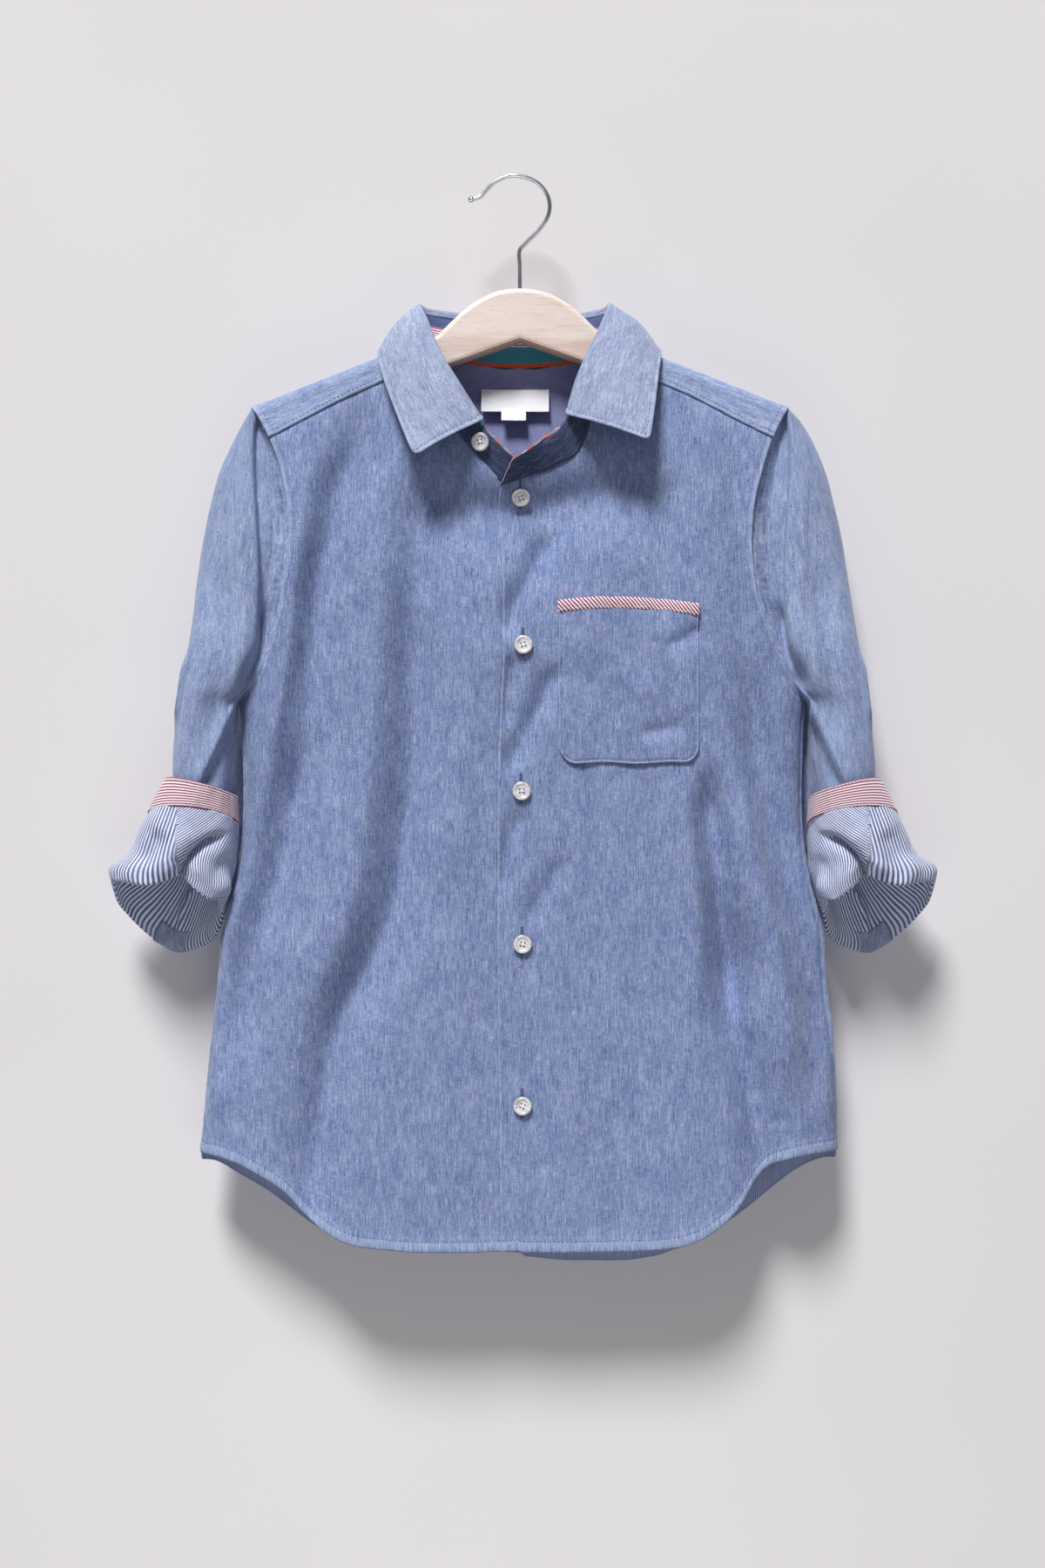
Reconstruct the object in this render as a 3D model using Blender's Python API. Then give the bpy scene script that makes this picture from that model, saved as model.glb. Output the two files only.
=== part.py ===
"""Child's button-front shirt with turned-up sleeves, on a wooden hanger with a wire hook.

The cloth is thin walls on sheets worked out from sections. Tables hold millimetres in the garment's own
frame: x across from the middle of the garment, y from the hanger's mid-plane towards the back, and
"down", the drop below the garment's datum level. Sides are the wearer's: side -1 is the right, at -x,
and side 1 is the left, at +x.
"""

import math

import bmesh
import bpy
import numpy as np

# The garment's frame, seen from the origin at the inner crown of the hanger's hook
MM = 0.001
CENTRE_X = 3.8
DATUM_Z = -4.6

# Cloth and the gaps between its pieces
CLOTH = 1.0
THIN_CLOTH = 0.7
SEAM_GAP = 0.3
EDGE_GAP = 0.4
UNDERARM_GAP = 0.9
FRONT, BACK = -1, 1

# The body's sheet: a round ridge over the hanger, then a swell towards the chest and the back
RIDGE_DOWN = 72.5
RIDGE_SLOPE = 0.394
RIDGE_RADIUS = 9.0
CHEST_SWELL = 16.0
CHEST_REACH = 55.0
BACK_SWELL = 10.0
BACK_REACH = 35.0
SWELL_POWER = 1.12
SIDE_Y = 2.0
SIDE_ROUNDING = 4
UNDERARM_DOWN = 318.0

# Half widths of the body; above the underarm the armhole cuts the sheet before it turns round
HALF_WIDTH = (  # down, right, left
    (60.0, 320.0, 320.0),
    (138.0, 260.0, 260.0),
    (180.0, 215.0, 216.0),
    (222.0, 184.0, 185.5),
    (262.0, 171.5, 174.0),
    (290.0, 170.5, 173.5),
    (318.0, 172.6, 175.8),
    (336.0, 170.9, 174.4),
    (378.0, 169.9, 173.6),
    (399.0, 170.9, 174.6),
    (424.0, 174.2, 178.0),
    (444.0, 179.5, 183.0),
    (463.0, 183.6, 187.6),
    (484.0, 185.2, 188.7),
    (514.0, 188.7, 192.2),
    (533.0, 190.8, 193.8),
    (562.0, 193.5, 194.8),
    (597.0, 196.6, 195.2),
    (640.0, 199.0, 198.0),
    (690.0, 201.0, 200.0),
)

ARMHOLE = (  # down, right, left: the armhole seam's distance from the middle
    (138.0, 165.2, 165.2),
    (144.0, 160.6, 161.4),
    (158.0, 153.2, 154.6),
    (175.0, 146.7, 148.6),
    (203.0, 141.1, 142.2),
    (222.0, 140.0, 141.0),
    (247.0, 143.5, 143.2),
    (275.0, 148.2, 151.4),
    (301.0, 157.5, 163.0),
    (311.0, 165.6, 169.9),
    (318.0, 172.6, 175.8),
)
SEAM_ROWS = (
    *(138.0, 139.2, 141.3, 144.0, 150.0, 158.0, 175.0, 195.0),
    *(218.0, 244.0, 268.0, 288.0, 303.0, 312.0, 318.0),
)
YOKE_FRONT_ROW = 5
YOKE_BACK_ROW = 6
YOKE_SHARES = (0.0, 0.14, 0.32, 0.5, 0.68, 0.85, 1.0)
BACK_COLUMNS = 15

YOKE_SEAM = (  # distance from the middle, down
    (57.5, 112.3),
    (84.0, 123.3),
    (107.0, 133.5),
    (128.0, 144.6),
    (154.0, 158.0),
)

NECK_SEAM = (  # name, x, down: the band's lower edge, from the right front end round the back to the left one
    ("right tip", -3.0, 193.5),
    ("right tip in", -12.0, 184.5),
    ("right front", -25.7, 169.3),
    ("right leaf end", -35.7, 157.7),
    ("right slope", -50.0, 136.5),
    ("right yoke", -59.5, 113.0),
    ("right ridge front", -61.6, 102.2),
    ("right ridge front in", -62.4, 98.6),
    ("right ridge", -62.6, 97.2),
    ("right ridge back in", -61.8, 98.3),
    ("right ridge back", -59.6, 101.2),
    ("right back", -50.0, 104.0),
    ("right back in", -28.0, 107.5),
    ("back", 0.0, 109.0),
    ("left back in", 28.0, 107.5),
    ("left back", 49.0, 104.0),
    ("left ridge back", 58.6, 100.8),
    ("left ridge back in", 60.8, 97.9),
    ("left ridge", 61.6, 96.8),
    ("left ridge front in", 61.4, 98.2),
    ("left ridge front", 60.6, 101.8),
    ("left yoke", 58.5, 112.6),
    ("left slope", 47.5, 134.0),
    ("left leaf end", 36.5, 165.0),
    ("left front", 20.0, 177.0),
    ("left tip in", 4.0, 182.5),
    ("left tip", -11.5, 187.5),
)
RIGHT_YOKE_POINT, RIGHT_RIDGE_POINT = 5, 8
LEFT_RIDGE_POINT, LEFT_YOKE_POINT = 18, 21
TIP_SPREAD = (0.8, 0.5, 0.2)

BAND_TOP = (  # x, y, down: the band's upper edge at each neck seam point
    (7.0, -20.4, 179.5),
    (-3.8, -22.2, 170.5),
    (-14.6, -24.0, 160.5),
    (-22.2, -24.8, 151.5),
    (-40.2, -21.5, 125.0),
    (-54.0, -15.0, 98.5),
    (-57.8, -9.2, 85.0),
    (-59.4, -5.0, 80.6),
    (-60.2, -1.0, 78.2),
    (-59.6, 3.8, 77.5),
    (-57.0, 8.6, 77.4),
    (-47.0, 13.8, 78.0),
    (-27.0, 17.6, 79.6),
    (0.0, 19.0, 81.0),
    (26.0, 17.6, 79.6),
    (44.0, 13.8, 78.0),
    (51.8, 8.6, 77.2),
    (53.8, 3.8, 77.2),
    (54.2, -1.0, 77.8),
    (53.4, -5.0, 80.0),
    (51.6, -9.2, 84.4),
    (48.8, -15.0, 95.5),
    (36.6, -21.5, 118.0),
    (27.6, -26.2, 148.6),
    (12.1, -27.0, 161.8),
    (3.9, -27.3, 168.6),
    (-4.2, -27.6, 173.6),
)

LEAF = (  # fold x, y, down, then outer edge x, y, down: the collar leaf from its right to its left point
    (-22.4, -28.0, 150.0, -62.6, -42.0, 174.4),
    (-40.0, -25.0, 122.6, -69.2, -35.0, 159.4),
    (-53.6, -16.5, 95.6, -81.4, -22.5, 127.0),
    (-61.8, -4.0, 75.4, -87.2, -5.0, 104.0),
    (-57.5, 11.5, 74.0, -81.5, 14.5, 107.5),
    (-33.0, 19.8, 75.8, -47.0, 24.5, 117.0),
    (0.0, 21.8, 78.0, 0.0, 26.0, 121.5),
    (31.0, 19.8, 75.8, 46.0, 24.5, 117.0),
    (52.0, 11.5, 74.0, 80.0, 14.5, 107.0),
    (55.6, -4.0, 74.6, 86.6, -5.0, 103.4),
    (49.6, -16.5, 91.6, 83.6, -22.0, 122.0),
    (38.2, -25.0, 114.4, 82.0, -31.0, 136.5),
    (28.2, -29.0, 147.0, 77.4, -42.0, 165.2),
)
LEAF_ROWS = (0.0, 0.25, 0.5, 0.75, 1.0)
LEAF_BULGE = 3.0
LEAF_THICKNESS = 1.4
LEAF_STEPS = 24
BAND_START = 0.03

PLACKET_EDGE = (  # down, x
    (187.5, -11.5),
    (196.0, -13.1),
    (242.0, -10.5),
    (285.0, -10.3),
    (330.0, -12.0),
    (378.0, -13.6),
    (421.0, -13.6),
    (651.0, -11.5),
)
UNDERLAP_X = 14.0
OVERLAP_RISE = 0.8
OVERLAP_FADE = 45.0

HEM = (  # distance from the middle, right front, left front, right back, left back: down at the hem
    (0.0, 650.5, 651.5, 662.0, 664.0),
    (35.0, 652.0, 651.5, 661.0, 667.0),
    (62.0, 651.8, 651.3, 660.0, 667.0),
    (83.0, 650.0, 650.2, 659.3, 664.5),
    (97.0, 648.6, 648.4, 658.5, 660.0),
    (107.0, 645.8, 645.4, 655.5, 656.5),
    (122.0, 637.5, 636.0, 648.5, 647.5),
    (131.0, 629.5, 627.5, 643.0, 642.0),
    (144.0, 614.5, 609.6, 633.0, 632.0),
    (157.0, 606.3, 598.7, 623.0, 621.0),
    (174.0, 598.4, 594.2, 612.5, 608.0),
    (190.0, 595.2, 593.3, 602.5, 600.5),
    (200.0, 595.0, 593.3, 600.0, 599.0),
)
SIDE_HEM = {-1: 596.5, 1: 594.5}

SIDE_ROWS = (336.0, 360.0, 385.0, 408.0, 430.0, 450.0, 475.0, 510.0, 552.0)

# Largest folds of the body: a trough is positive and goes inwards
FOLDS = (  # face, top x, top down, bottom x, bottom down, half width, depth
    (FRONT, -106.0, 150.0, -138.0, 330.0, 9.0, 2.6),
    (FRONT, 112.0, 165.0, 143.0, 330.0, 9.0, 1.8),
    (FRONT, -80.0, 235.0, -84.0, 505.0, 24.0, 2.6),
    (FRONT, -136.0, 425.0, -142.0, 600.0, 16.0, 3.0),
    (FRONT, 142.0, 425.0, 140.0, 600.0, 16.0, 3.0),
    (FRONT, 62.0, 400.0, 70.0, 640.0, 20.0, 1.6),
    (BACK, -95.0, 220.0, -110.0, 600.0, 22.0, 3.0),
    (BACK, -28.0, 260.0, -36.0, 650.0, 18.0, 2.2),
    (BACK, 40.0, 240.0, 52.0, 640.0, 20.0, 2.6),
    (BACK, 112.0, 230.0, 128.0, 590.0, 22.0, 3.0),
)

SLEEVE_EDGE = (  # down, right, left: the sleeve's outer edge beside the armhole
    (138.0, 165.2, 165.2),
    (144.0, 169.0, 171.4),
    (156.0, 175.3, 179.0),
    (170.0, 182.4, 185.5),
    (188.0, 188.2, 190.8),
    (216.0, 193.9, 197.6),
    (247.0, 198.8, 202.9),
    (275.0, 202.6, 207.4),
    (301.0, 206.8, 211.3),
    (318.0, 209.3, 213.1),
)
SLEEVE_SHIFT = 3.8
SLEEVE_FRONT = 22.0
SLEEVE_BACK = 17.0
SLEEVE_SIDES = 16

SLEEVE_RINGS = (  # outer x, outer down, inner x, inner down, middle y, front, back, front rise, back drop
    (211.9, 336.0, 174.4, 335.0, -2.0, 22.0, 17.0, 0.0, 0.0),
    (213.2, 353.0, 176.4, 353.0, -3.0, 21.5, 17.5, 0.0, 2.0),
    (213.2, 371.0, 178.6, 373.0, -4.0, 19.5, 17.5, 0.0, 4.0),
    (214.0, 392.0, 181.0, 396.0, -4.0, 18.0, 17.0, 1.0, 8.0),
    (224.0, 408.0, 182.0, 420.0, -4.0, 18.5, 17.5, 4.0, 22.0),
)
ROLL_RINGS = (  # the same columns, on the turned-up layer from the mouth to the band
    (239.0, 411.5, 175.6, 421.0, -4.0, 27.0, 24.0, 4.0, 30.0),
    (231.6, 397.5, 173.8, 403.0, -4.0, 26.5, 23.5, 8.0, 26.0),
    (227.0, 389.6, 173.4, 394.0, -4.0, 24.5, 22.5, 9.5, 22.0),
)
BAND_RINGS = (
    (226.8, 389.15, 173.4, 393.55, -4.0, 24.4, 22.4, 9.5, 22.0),
    (221.6, 377.6, 173.8, 385.0, -4.0, 23.4, 21.6, 7.0, 20.0),
    (215.8, 366.6, 174.4, 377.0, -4.0, 22.4, 20.8, 4.5, 18.0),
)
RING_SQUARENESS = 0.86

MOUTH = (  # angle from the inner side by way of the front, x, y, down
    (0.0, 183.2, 1.0, 447.0),
    (30.0, 178.4, -15.0, 438.0),
    (52.0, 186.0, -25.0, 438.5),
    (70.0, 196.0, -27.0, 431.5),
    (86.0, 205.0, -25.0, 423.5),
    (100.0, 213.0, -28.0, 426.5),
    (118.0, 225.0, -28.0, 429.5),
    (142.0, 239.0, -20.0, 428.0),
    (176.0, 249.5, -6.0, 427.2),
    (200.0, 248.5, 3.0, 441.0),
    (225.0, 241.5, 10.0, 452.0),
    (250.0, 228.5, 16.0, 465.0),
    (275.0, 214.0, 20.0, 473.5),
    (305.0, 199.0, 18.0, 470.0),
    (335.0, 187.5, 11.0, 462.0),
    (360.0, 183.2, 1.0, 447.0),
)
MOUTH_FOLD = 1.7
MOUTH_RISE = 4.0
PLACKET_PATCH = (254.0, 280.0)
PLACKET_PATCH_RISE = 10.0

POCKET_LEFT, POCKET_RIGHT = 23.6, 108.2
POCKET_TOP, POCKET_BOTTOM = 266.6, 356.4
POCKET_SKEW = 2.0
POCKET_CORNER = 11.0
BINDING_HEIGHT = 7.4
BINDING_OVERHANG = 0.6
BINDING_ARCH = 3.0
BINDING_THICKNESS = 1.8

LABEL = (-24.0, 123.2, 18.0, 137.4)
SIZE_LABEL = (-11.6, 137.8, 3.8, 142.6)
LABEL_THICKNESS = 0.6

BUTTONS = (  # name, x, down
    ("button_1", 0.6, 194.3),
    ("button_2", 2.1, 285.0),
    ("button_3", 1.1, 373.1),
    ("button_4", 1.6, 465.4),
    ("button_5", 1.6, 562.9),
)
COLLAR_BUTTON_AT = 2.35
BUTTON_RADIUS = 5.8
BUTTON_THICKNESS = 2.2
BUTTON_RIM = 1.3
BUTTON_DISH = 0.5
BUTTON_HOLE_RADIUS = 0.65
BUTTON_HOLE_OFFSET = 1.15
BUTTON_SIDES = 16
BUTTON_HOLE_SIDES = 6

HANGER_THICKNESS = 12.0
HANGER_TOP = (  # distance from the middle, down
    (0.0, 64.3),
    (9.0, 65.0),
    (17.0, 67.2),
    (27.7, 72.6),
    (40.5, 83.0),
    (50.0, 92.6),
    (62.0, 99.6),
)
HANGER_DROP = 2.6
HANGER_UNDERSIDE = (  # distance from the middle, down
    (0.0, 96.8),
    (16.5, 102.6),
    (41.0, 111.4),
    (100.0, 132.4),
    (148.0, 152.5),
)
HANGER_END_X = 160.0
HANGER_END_DOWN = 146.0
HANGER_ROUNDING = 3.0

HOOK_WIRE = 1.35
HOOK_PATH = (  # x, down: the wire from the wood over the crown to its ball
    (0.0, 63.9),
    (-0.1, 50.0),
    (-0.3, 40.8),
    (3.7, 35.7),
    (11.3, 28.1),
    (16.6, 20.6),
    (18.4, 13.4),
    (17.0, 6.4),
    (12.9, 0.4),
    (7.0, -3.6),
    (0.2, -5.6),
    (-5.4, -5.9),
    (-11.3, -4.3),
    (-16.6, -1.1),
    (-20.4, 2.9),
    (-24.0, 6.8),
    (-28.4, 8.3),
)
HOOK_POINTS = 44
HOOK_SIDES = 8
HOOK_BALL = (  # distance along from the wire's end, radius
    (0.3, 1.25),
    (1.1, 1.7),
    (2.2, 1.8),
    (3.2, 1.5),
    (3.8, 0.9),
)


def table(rows):
    return np.array(rows, dtype=float)


def smooth(at, knots, values):
    """Values at given places of the smooth curve through a short table, with no overshoot."""
    at = np.clip(np.asarray(at, dtype=float), knots[0], knots[-1])
    steps = np.diff(knots)
    slopes = np.diff(values) / steps
    product = slopes[:-1] * slopes[1:]
    total = np.where(product > 0, slopes[:-1] + slopes[1:], 1.0)
    inner = np.where(product > 0, 2 * product / total, 0.0)
    tangents = np.concatenate([slopes[:1], inner, slopes[-1:]])
    cell = np.clip(np.searchsorted(knots, at, side="right") - 1, 0, len(steps) - 1)
    width = steps[cell]
    part = (at - knots[cell]) / width
    start = values[cell] * (1 + 2 * part) * (1 - part) ** 2
    end = values[cell + 1] * part * part * (3 - 2 * part)
    leave = tangents[cell] * part * (1 - part) ** 2
    arrive = tangents[cell + 1] * part * part * (part - 1)
    return start + end + width * (leave + arrive)


def by_side(rows, down, side):
    """The right or left column of a table of down, right, left."""
    data = table(rows)
    return smooth(down, data[:, 0], data[:, 1 if side < 0 else 2])


def ridge_down(x):
    return RIDGE_DOWN + RIDGE_SLOPE * np.abs(x)


def fullness(x, down):
    """1 on the garment's middle, 0 where the body's sheet turns round at the side."""
    right = by_side(HALF_WIDTH, down, -1)
    left = by_side(HALF_WIDTH, down, 1)
    ratio = np.clip(np.abs(x) / np.where(x < 0, right, left), 0, 1)
    return np.sqrt(1 - ratio**SIDE_ROUNDING)


def swell(below, face):
    size, reach = (CHEST_SWELL, CHEST_REACH) if face == FRONT else (BACK_SWELL, BACK_REACH)
    return size * (1 - np.exp(-((np.maximum(below, 0) / reach) ** SWELL_POWER)))


def fold_depth(x, down, face):
    total = np.zeros(np.broadcast(x, down).shape)
    for fold_face, x_top, top, x_bottom, bottom, half_width, depth in FOLDS:
        if fold_face != face:
            continue
        part = np.clip((down - top) / (bottom - top), 0, 1)
        across = x - (x_top + (x_bottom - x_top) * part)
        total = total + depth * np.sin(math.pi * part) * np.exp(-((across / half_width) ** 2))
    return total


def body_y(x, down, face):
    """Depth of the body's sheet at a place seen from the front."""
    x = np.asarray(x, dtype=float)
    down = np.asarray(down, dtype=float)
    below = np.maximum(down - ridge_down(x), 0)
    round_part = np.minimum(below, RIDGE_RADIUS) / RIDGE_RADIUS
    depth = RIDGE_RADIUS * np.sqrt(1 - (1 - round_part) ** 2) + swell(below - RIDGE_RADIUS, face)
    depth = depth - fold_depth(x, down, face)
    side_y = SIDE_Y * np.clip((down - 250) / 70, 0, 1)
    full = fullness(x, down)
    return side_y * (1 - full) + face * depth * full


def ridge_length(x, down, face):
    """Distance along the sheet from the shoulder's ridge, negative on the front."""
    below = np.maximum(down - ridge_down(x), 0)
    turned = RIDGE_RADIUS * np.arccos(1 - np.minimum(below, RIDGE_RADIUS) / RIDGE_RADIUS)
    return face * (turned + np.maximum(below - RIDGE_RADIUS, 0))


def over_ridge(x, length):
    """A point of the sheet over the shoulder, from its distance along the sheet."""
    face = np.where(length < 0, FRONT, BACK)
    quarter = RIDGE_RADIUS * math.pi / 2
    angle = np.minimum(np.abs(length), quarter) / RIDGE_RADIUS
    below = RIDGE_RADIUS * (1 - np.cos(angle)) + np.maximum(np.abs(length) - quarter, 0)
    down = ridge_down(x) + below
    y = np.where(face < 0, body_y(x, down, FRONT), body_y(x, down, BACK))
    return np.stack([x, y, down], axis=-1)


def points(x, y, down):
    x, y, down = np.broadcast_arrays(x, y, down)
    return np.stack([x, y, down], axis=-1).astype(float)


def grid_normals(grid, around=False):
    """Unit normals of a grid of points; around says that its last column meets its first."""
    if around:
        wide = np.concatenate([grid[:, -2:-1], grid, grid[:, 1:2]], axis=1)
        along = np.gradient(wide, axis=1)[:, 1:-1]
    else:
        along = np.gradient(grid, axis=1)
    normals = np.cross(along, np.gradient(grid, axis=0))
    return normals / np.maximum(np.linalg.norm(normals, axis=-1, keepdims=True), 1e-9)


def moved(grid, distance, around=False):
    return grid + distance * grid_normals(grid, around)


def patch(top, bottom, start, end):
    """A grid between four edges that meet at their corners: columns run from start to end."""
    across = np.linspace(0, 1, len(top))[None, :, None]
    along = np.linspace(0, 1, len(start))[:, None, None]
    ruled_down = (1 - along) * top[None] + along * bottom[None]
    ruled_across = (1 - across) * start[:, None] + across * end[:, None]
    corners = (1 - along) * ((1 - across) * top[0] + across * top[-1])
    corners = corners + along * ((1 - across) * bottom[0] + across * bottom[-1])
    return ruled_down + ruled_across - corners


def edge_gap(down):
    """Half of the gap at a seam, wider where the side and armhole seams meet under the arm."""
    return EDGE_GAP + (UNDERARM_GAP - EDGE_GAP) * np.clip((down - 275.0) / 30.0, 0, 1)


def pulled_in(grid, edge):
    """Pulls one edge of a piece back from its seam line, within the piece's own surface."""
    turned = {
        "top": lambda g: g,
        "bottom": lambda g: g[::-1],
        "first": lambda g: g.transpose(1, 0, 2),
        "last": lambda g: g.transpose(1, 0, 2)[::-1],
    }[edge]
    result = grid.copy()
    view = turned(result)
    normals = grid_normals(view)[0]
    inward = np.cross(normals, np.gradient(view[0], axis=0))
    inward = inward / np.maximum(np.linalg.norm(inward, axis=1, keepdims=True), 1e-9)
    towards = np.sum(inward * (view[1] - view[0]), axis=1, keepdims=True)
    view[0] += edge_gap(view[0][:, 2])[:, None] * np.sign(towards) * inward
    return result


def material(name, colour, roughness, metallic=0.0):
    made = bpy.data.materials.new(name)
    made.use_nodes = True
    shader = made.node_tree.nodes["Principled BSDF"]
    shader.inputs["Base Color"].default_value = (*colour, 1.0)
    shader.inputs["Roughness"].default_value = roughness
    shader.inputs["Metallic"].default_value = metallic
    return made


def to_metres(grid):
    flat = np.asarray(grid, dtype=float).reshape(-1, 3)
    return np.stack([flat[:, 0] + CENTRE_X, flat[:, 1], DATUM_Z - flat[:, 2]], axis=1) * MM


def add_object(name, vertices, faces, finish, smooth_shading=True):
    mesh = bpy.data.meshes.new(name)
    mesh.from_pydata([tuple(v) for v in vertices], [], faces)
    mesh.update()
    mesh.materials.append(finish)
    thing = bpy.data.objects.new(name, mesh)
    bpy.context.scene.collection.objects.link(thing)
    if smooth_shading:
        mesh.shade_smooth()
    return thing


def cloth(name, grid, finish, wall=CLOTH, closed_from=None):
    """A wall on a grid of points. Rows from closed_from on are rings, whose last point is their first."""
    rows, columns = grid.shape[:2]
    index = np.arange(rows * columns).reshape(rows, columns)
    if closed_from is not None:
        index[closed_from:, -1] = index[closed_from:, 0]
    used = np.unique(index)
    place = {int(old): new for new, old in enumerate(used)}
    faces = []
    for row in range(rows - 1):
        for column in range(columns - 1):
            corners = (
                index[row, column],
                index[row, column + 1],
                index[row + 1, column + 1],
                index[row + 1, column],
            )
            faces.append([place[int(corner)] for corner in dict.fromkeys(corners)])
    thing = add_object(name, to_metres(grid)[used], faces, finish)
    solidify = thing.modifiers.new("wall", "SOLIDIFY")
    solidify.thickness = wall * MM
    solidify.offset = 0.0
    return thing


def armhole_edge(side, face, rows):
    """Points of the armhole seam on one side and face, at the given rows."""
    down = table(SEAM_ROWS)[rows]
    x = side * by_side(ARMHOLE, down, side)
    return points(x, body_y(x, down, face), down)


def overlap_rise(x):
    """How far a front stands off the body's sheet where the two fronts overlap."""
    inside = 1 - np.clip((np.abs(x) - UNDERLAP_X) / OVERLAP_FADE, 0, 1)
    return OVERLAP_RISE * inside * inside * (3 - 2 * inside)


def neck_points():
    """The neck seam as points of the body's sheet."""
    found = []
    for number, (_, x, down) in enumerate(NECK_SEAM):
        face = BACK if RIGHT_RIDGE_POINT < number < LEFT_RIDGE_POINT else FRONT
        if number in (RIGHT_RIDGE_POINT, LEFT_RIDGE_POINT):
            down = ridge_down(x)
        side = -1 if number < RIGHT_RIDGE_POINT else 1
        rise = float(overlap_rise(x)) * side if face == FRONT else 0.0
        found.append((x, float(body_y(x, down, face)) - rise, down))
    return table(found)


def hem_down(x, face):
    data = table(HEM)
    right, left = (1, 2) if face == FRONT else (3, 4)
    on_right = smooth(np.abs(x), data[:, 0], data[:, right])
    on_left = smooth(np.abs(x), data[:, 0], data[:, left])
    return np.where(x < 0, on_right, on_left)


def side_edge(side, face, first_row, hem):
    """The edge of a panel down its armhole and side, seen from the front."""
    rows = np.arange(first_row, len(SEAM_ROWS))
    armhole = armhole_edge(side, face, rows)
    down = np.append(table(SIDE_ROWS), hem)
    x = side * by_side(HALF_WIDTH, down, side)
    return np.concatenate([armhole, points(x, 0.0, down)])


def yoke_seam(side):
    """The front yoke seam as x and down, from the neck to the armhole."""
    neck_x = NECK_SEAM[{-1: RIGHT_YOKE_POINT, 1: LEFT_YOKE_POINT}[side]][1]
    armhole = armhole_edge(side, FRONT, [YOKE_FRONT_ROW])[0]
    x = neck_x + table(YOKE_SHARES) * (armhole[0] - neck_x)
    data = table(YOKE_SEAM)
    down = smooth(np.abs(x), data[:, 0], data[:, 1])
    down[0] = NECK_SEAM[{-1: RIGHT_YOKE_POINT, 1: LEFT_YOKE_POINT}[side]][2]
    down[-1] = armhole[2]
    return np.stack([x, down], axis=1)


def front_panel(side):
    """One front, from its front edge to its armhole and side."""
    neck = neck_points()
    last = {-1: 0, 1: len(neck) - 1}[side]
    yoke_point = {-1: RIGHT_YOKE_POINT, 1: LEFT_YOKE_POINT}[side]
    neck_part = neck[last : yoke_point + 1] if side < 0 else neck[last : yoke_point - 1 : -1]
    edge = side_edge(side, FRONT, YOKE_FRONT_ROW, SIDE_HEM[side])
    seam = yoke_seam(side)[1:-1]
    seam_part = points(seam[:, 0], 0.0, seam[:, 1])
    top = np.concatenate([neck_part, seam_part, edge[:1]])
    if side < 0:
        under_end = points(UNDERLAP_X, 0.0, neck[0, 2] + 3.0)
        top = np.concatenate([under_end[None], top])
    depth = (edge[:, 2] - edge[0, 2]) / (edge[-1, 2] - edge[0, 2])
    front_down = top[0, 2] + depth * (float(hem_down(top[0, 0], FRONT)) - top[0, 2])
    if side < 0:
        front_x = np.full(len(edge), UNDERLAP_X)
    else:
        data = table(PLACKET_EDGE)
        front_x = smooth(front_down, data[:, 0], data[:, 1])
    start = points(front_x, 0.0, front_down)
    share = np.abs(top[:, 0] - top[0, 0]) / np.abs(top[-1, 0] - top[0, 0])
    bottom_x = start[-1, 0] + share * (edge[-1, 0] - start[-1, 0])
    bottom = points(bottom_x, 0.0, hem_down(bottom_x, FRONT))
    bottom[-1] = edge[-1]
    return patch(top, bottom, start, edge)


def front_grid(side):
    flat = front_panel(side)
    x, down = flat[..., 0], flat[..., 2]
    grid = points(x, body_y(x, down, FRONT) - side * overlap_rise(x), down)
    grid = pulled_in(grid, "top")
    return pulled_in(grid, "last")


def back_shares():
    """Places of the back's columns, from -1 to 1, closer together towards the sides."""
    even = np.linspace(-1, 1, BACK_COLUMNS)
    return 0.5 * (np.sin(even * math.pi / 2) + even)


def back_grid():
    right = side_edge(-1, BACK, YOKE_BACK_ROW, SIDE_HEM[-1] + 3)
    left = side_edge(1, BACK, YOKE_BACK_ROW, SIDE_HEM[1] + 4)
    share = back_shares()
    top_x = np.where(share < 0, -share * right[0, 0], share * left[0, 0])
    top = points(top_x, 0.0, SEAM_ROWS[YOKE_BACK_ROW])
    bottom_x = np.where(share < 0, -share * right[-1, 0], share * left[-1, 0])
    bottom = points(bottom_x, 0.0, hem_down(bottom_x, BACK))
    bottom[0], bottom[-1] = right[-1], left[-1]
    grid = patch(top, bottom, right, left)
    x, down = grid[..., 0], grid[..., 2]
    grid = points(x, body_y(x, down, BACK), down)
    for edge in ("top", "first", "last"):
        grid = pulled_in(grid, edge)
    return grid


def yoke_outer():
    """The yoke's outer edge as x and distance from the ridge, from one front seam round to the other."""
    found = []
    for side in (-1, 1):
        front_rows = np.arange(YOKE_FRONT_ROW, 0, -1)
        back_rows = np.arange(1, YOKE_BACK_ROW + 1)
        front = armhole_edge(side, FRONT, front_rows)
        back = armhole_edge(side, BACK, back_rows)
        front_length = ridge_length(front[:, 0], front[:, 2], FRONT)
        back_length = ridge_length(back[:, 0], back[:, 2], BACK)
        x = np.concatenate([front[:, 0], [side * ARMHOLE[0][1]], back[:, 0]])
        length = np.concatenate([front_length, [0.0], back_length])
        edge = np.stack([x, length], axis=1)
        found.append(edge if side < 0 else edge[::-1])
    right, left = found
    share = back_shares()[1:-1]
    seam_x = np.where(share < 0, -share * right[-1, 0], share * left[0, 0])
    seam_length = ridge_length(seam_x, SEAM_ROWS[YOKE_BACK_ROW], BACK)
    return np.concatenate([right, np.stack([seam_x, seam_length], axis=1), left])


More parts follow.
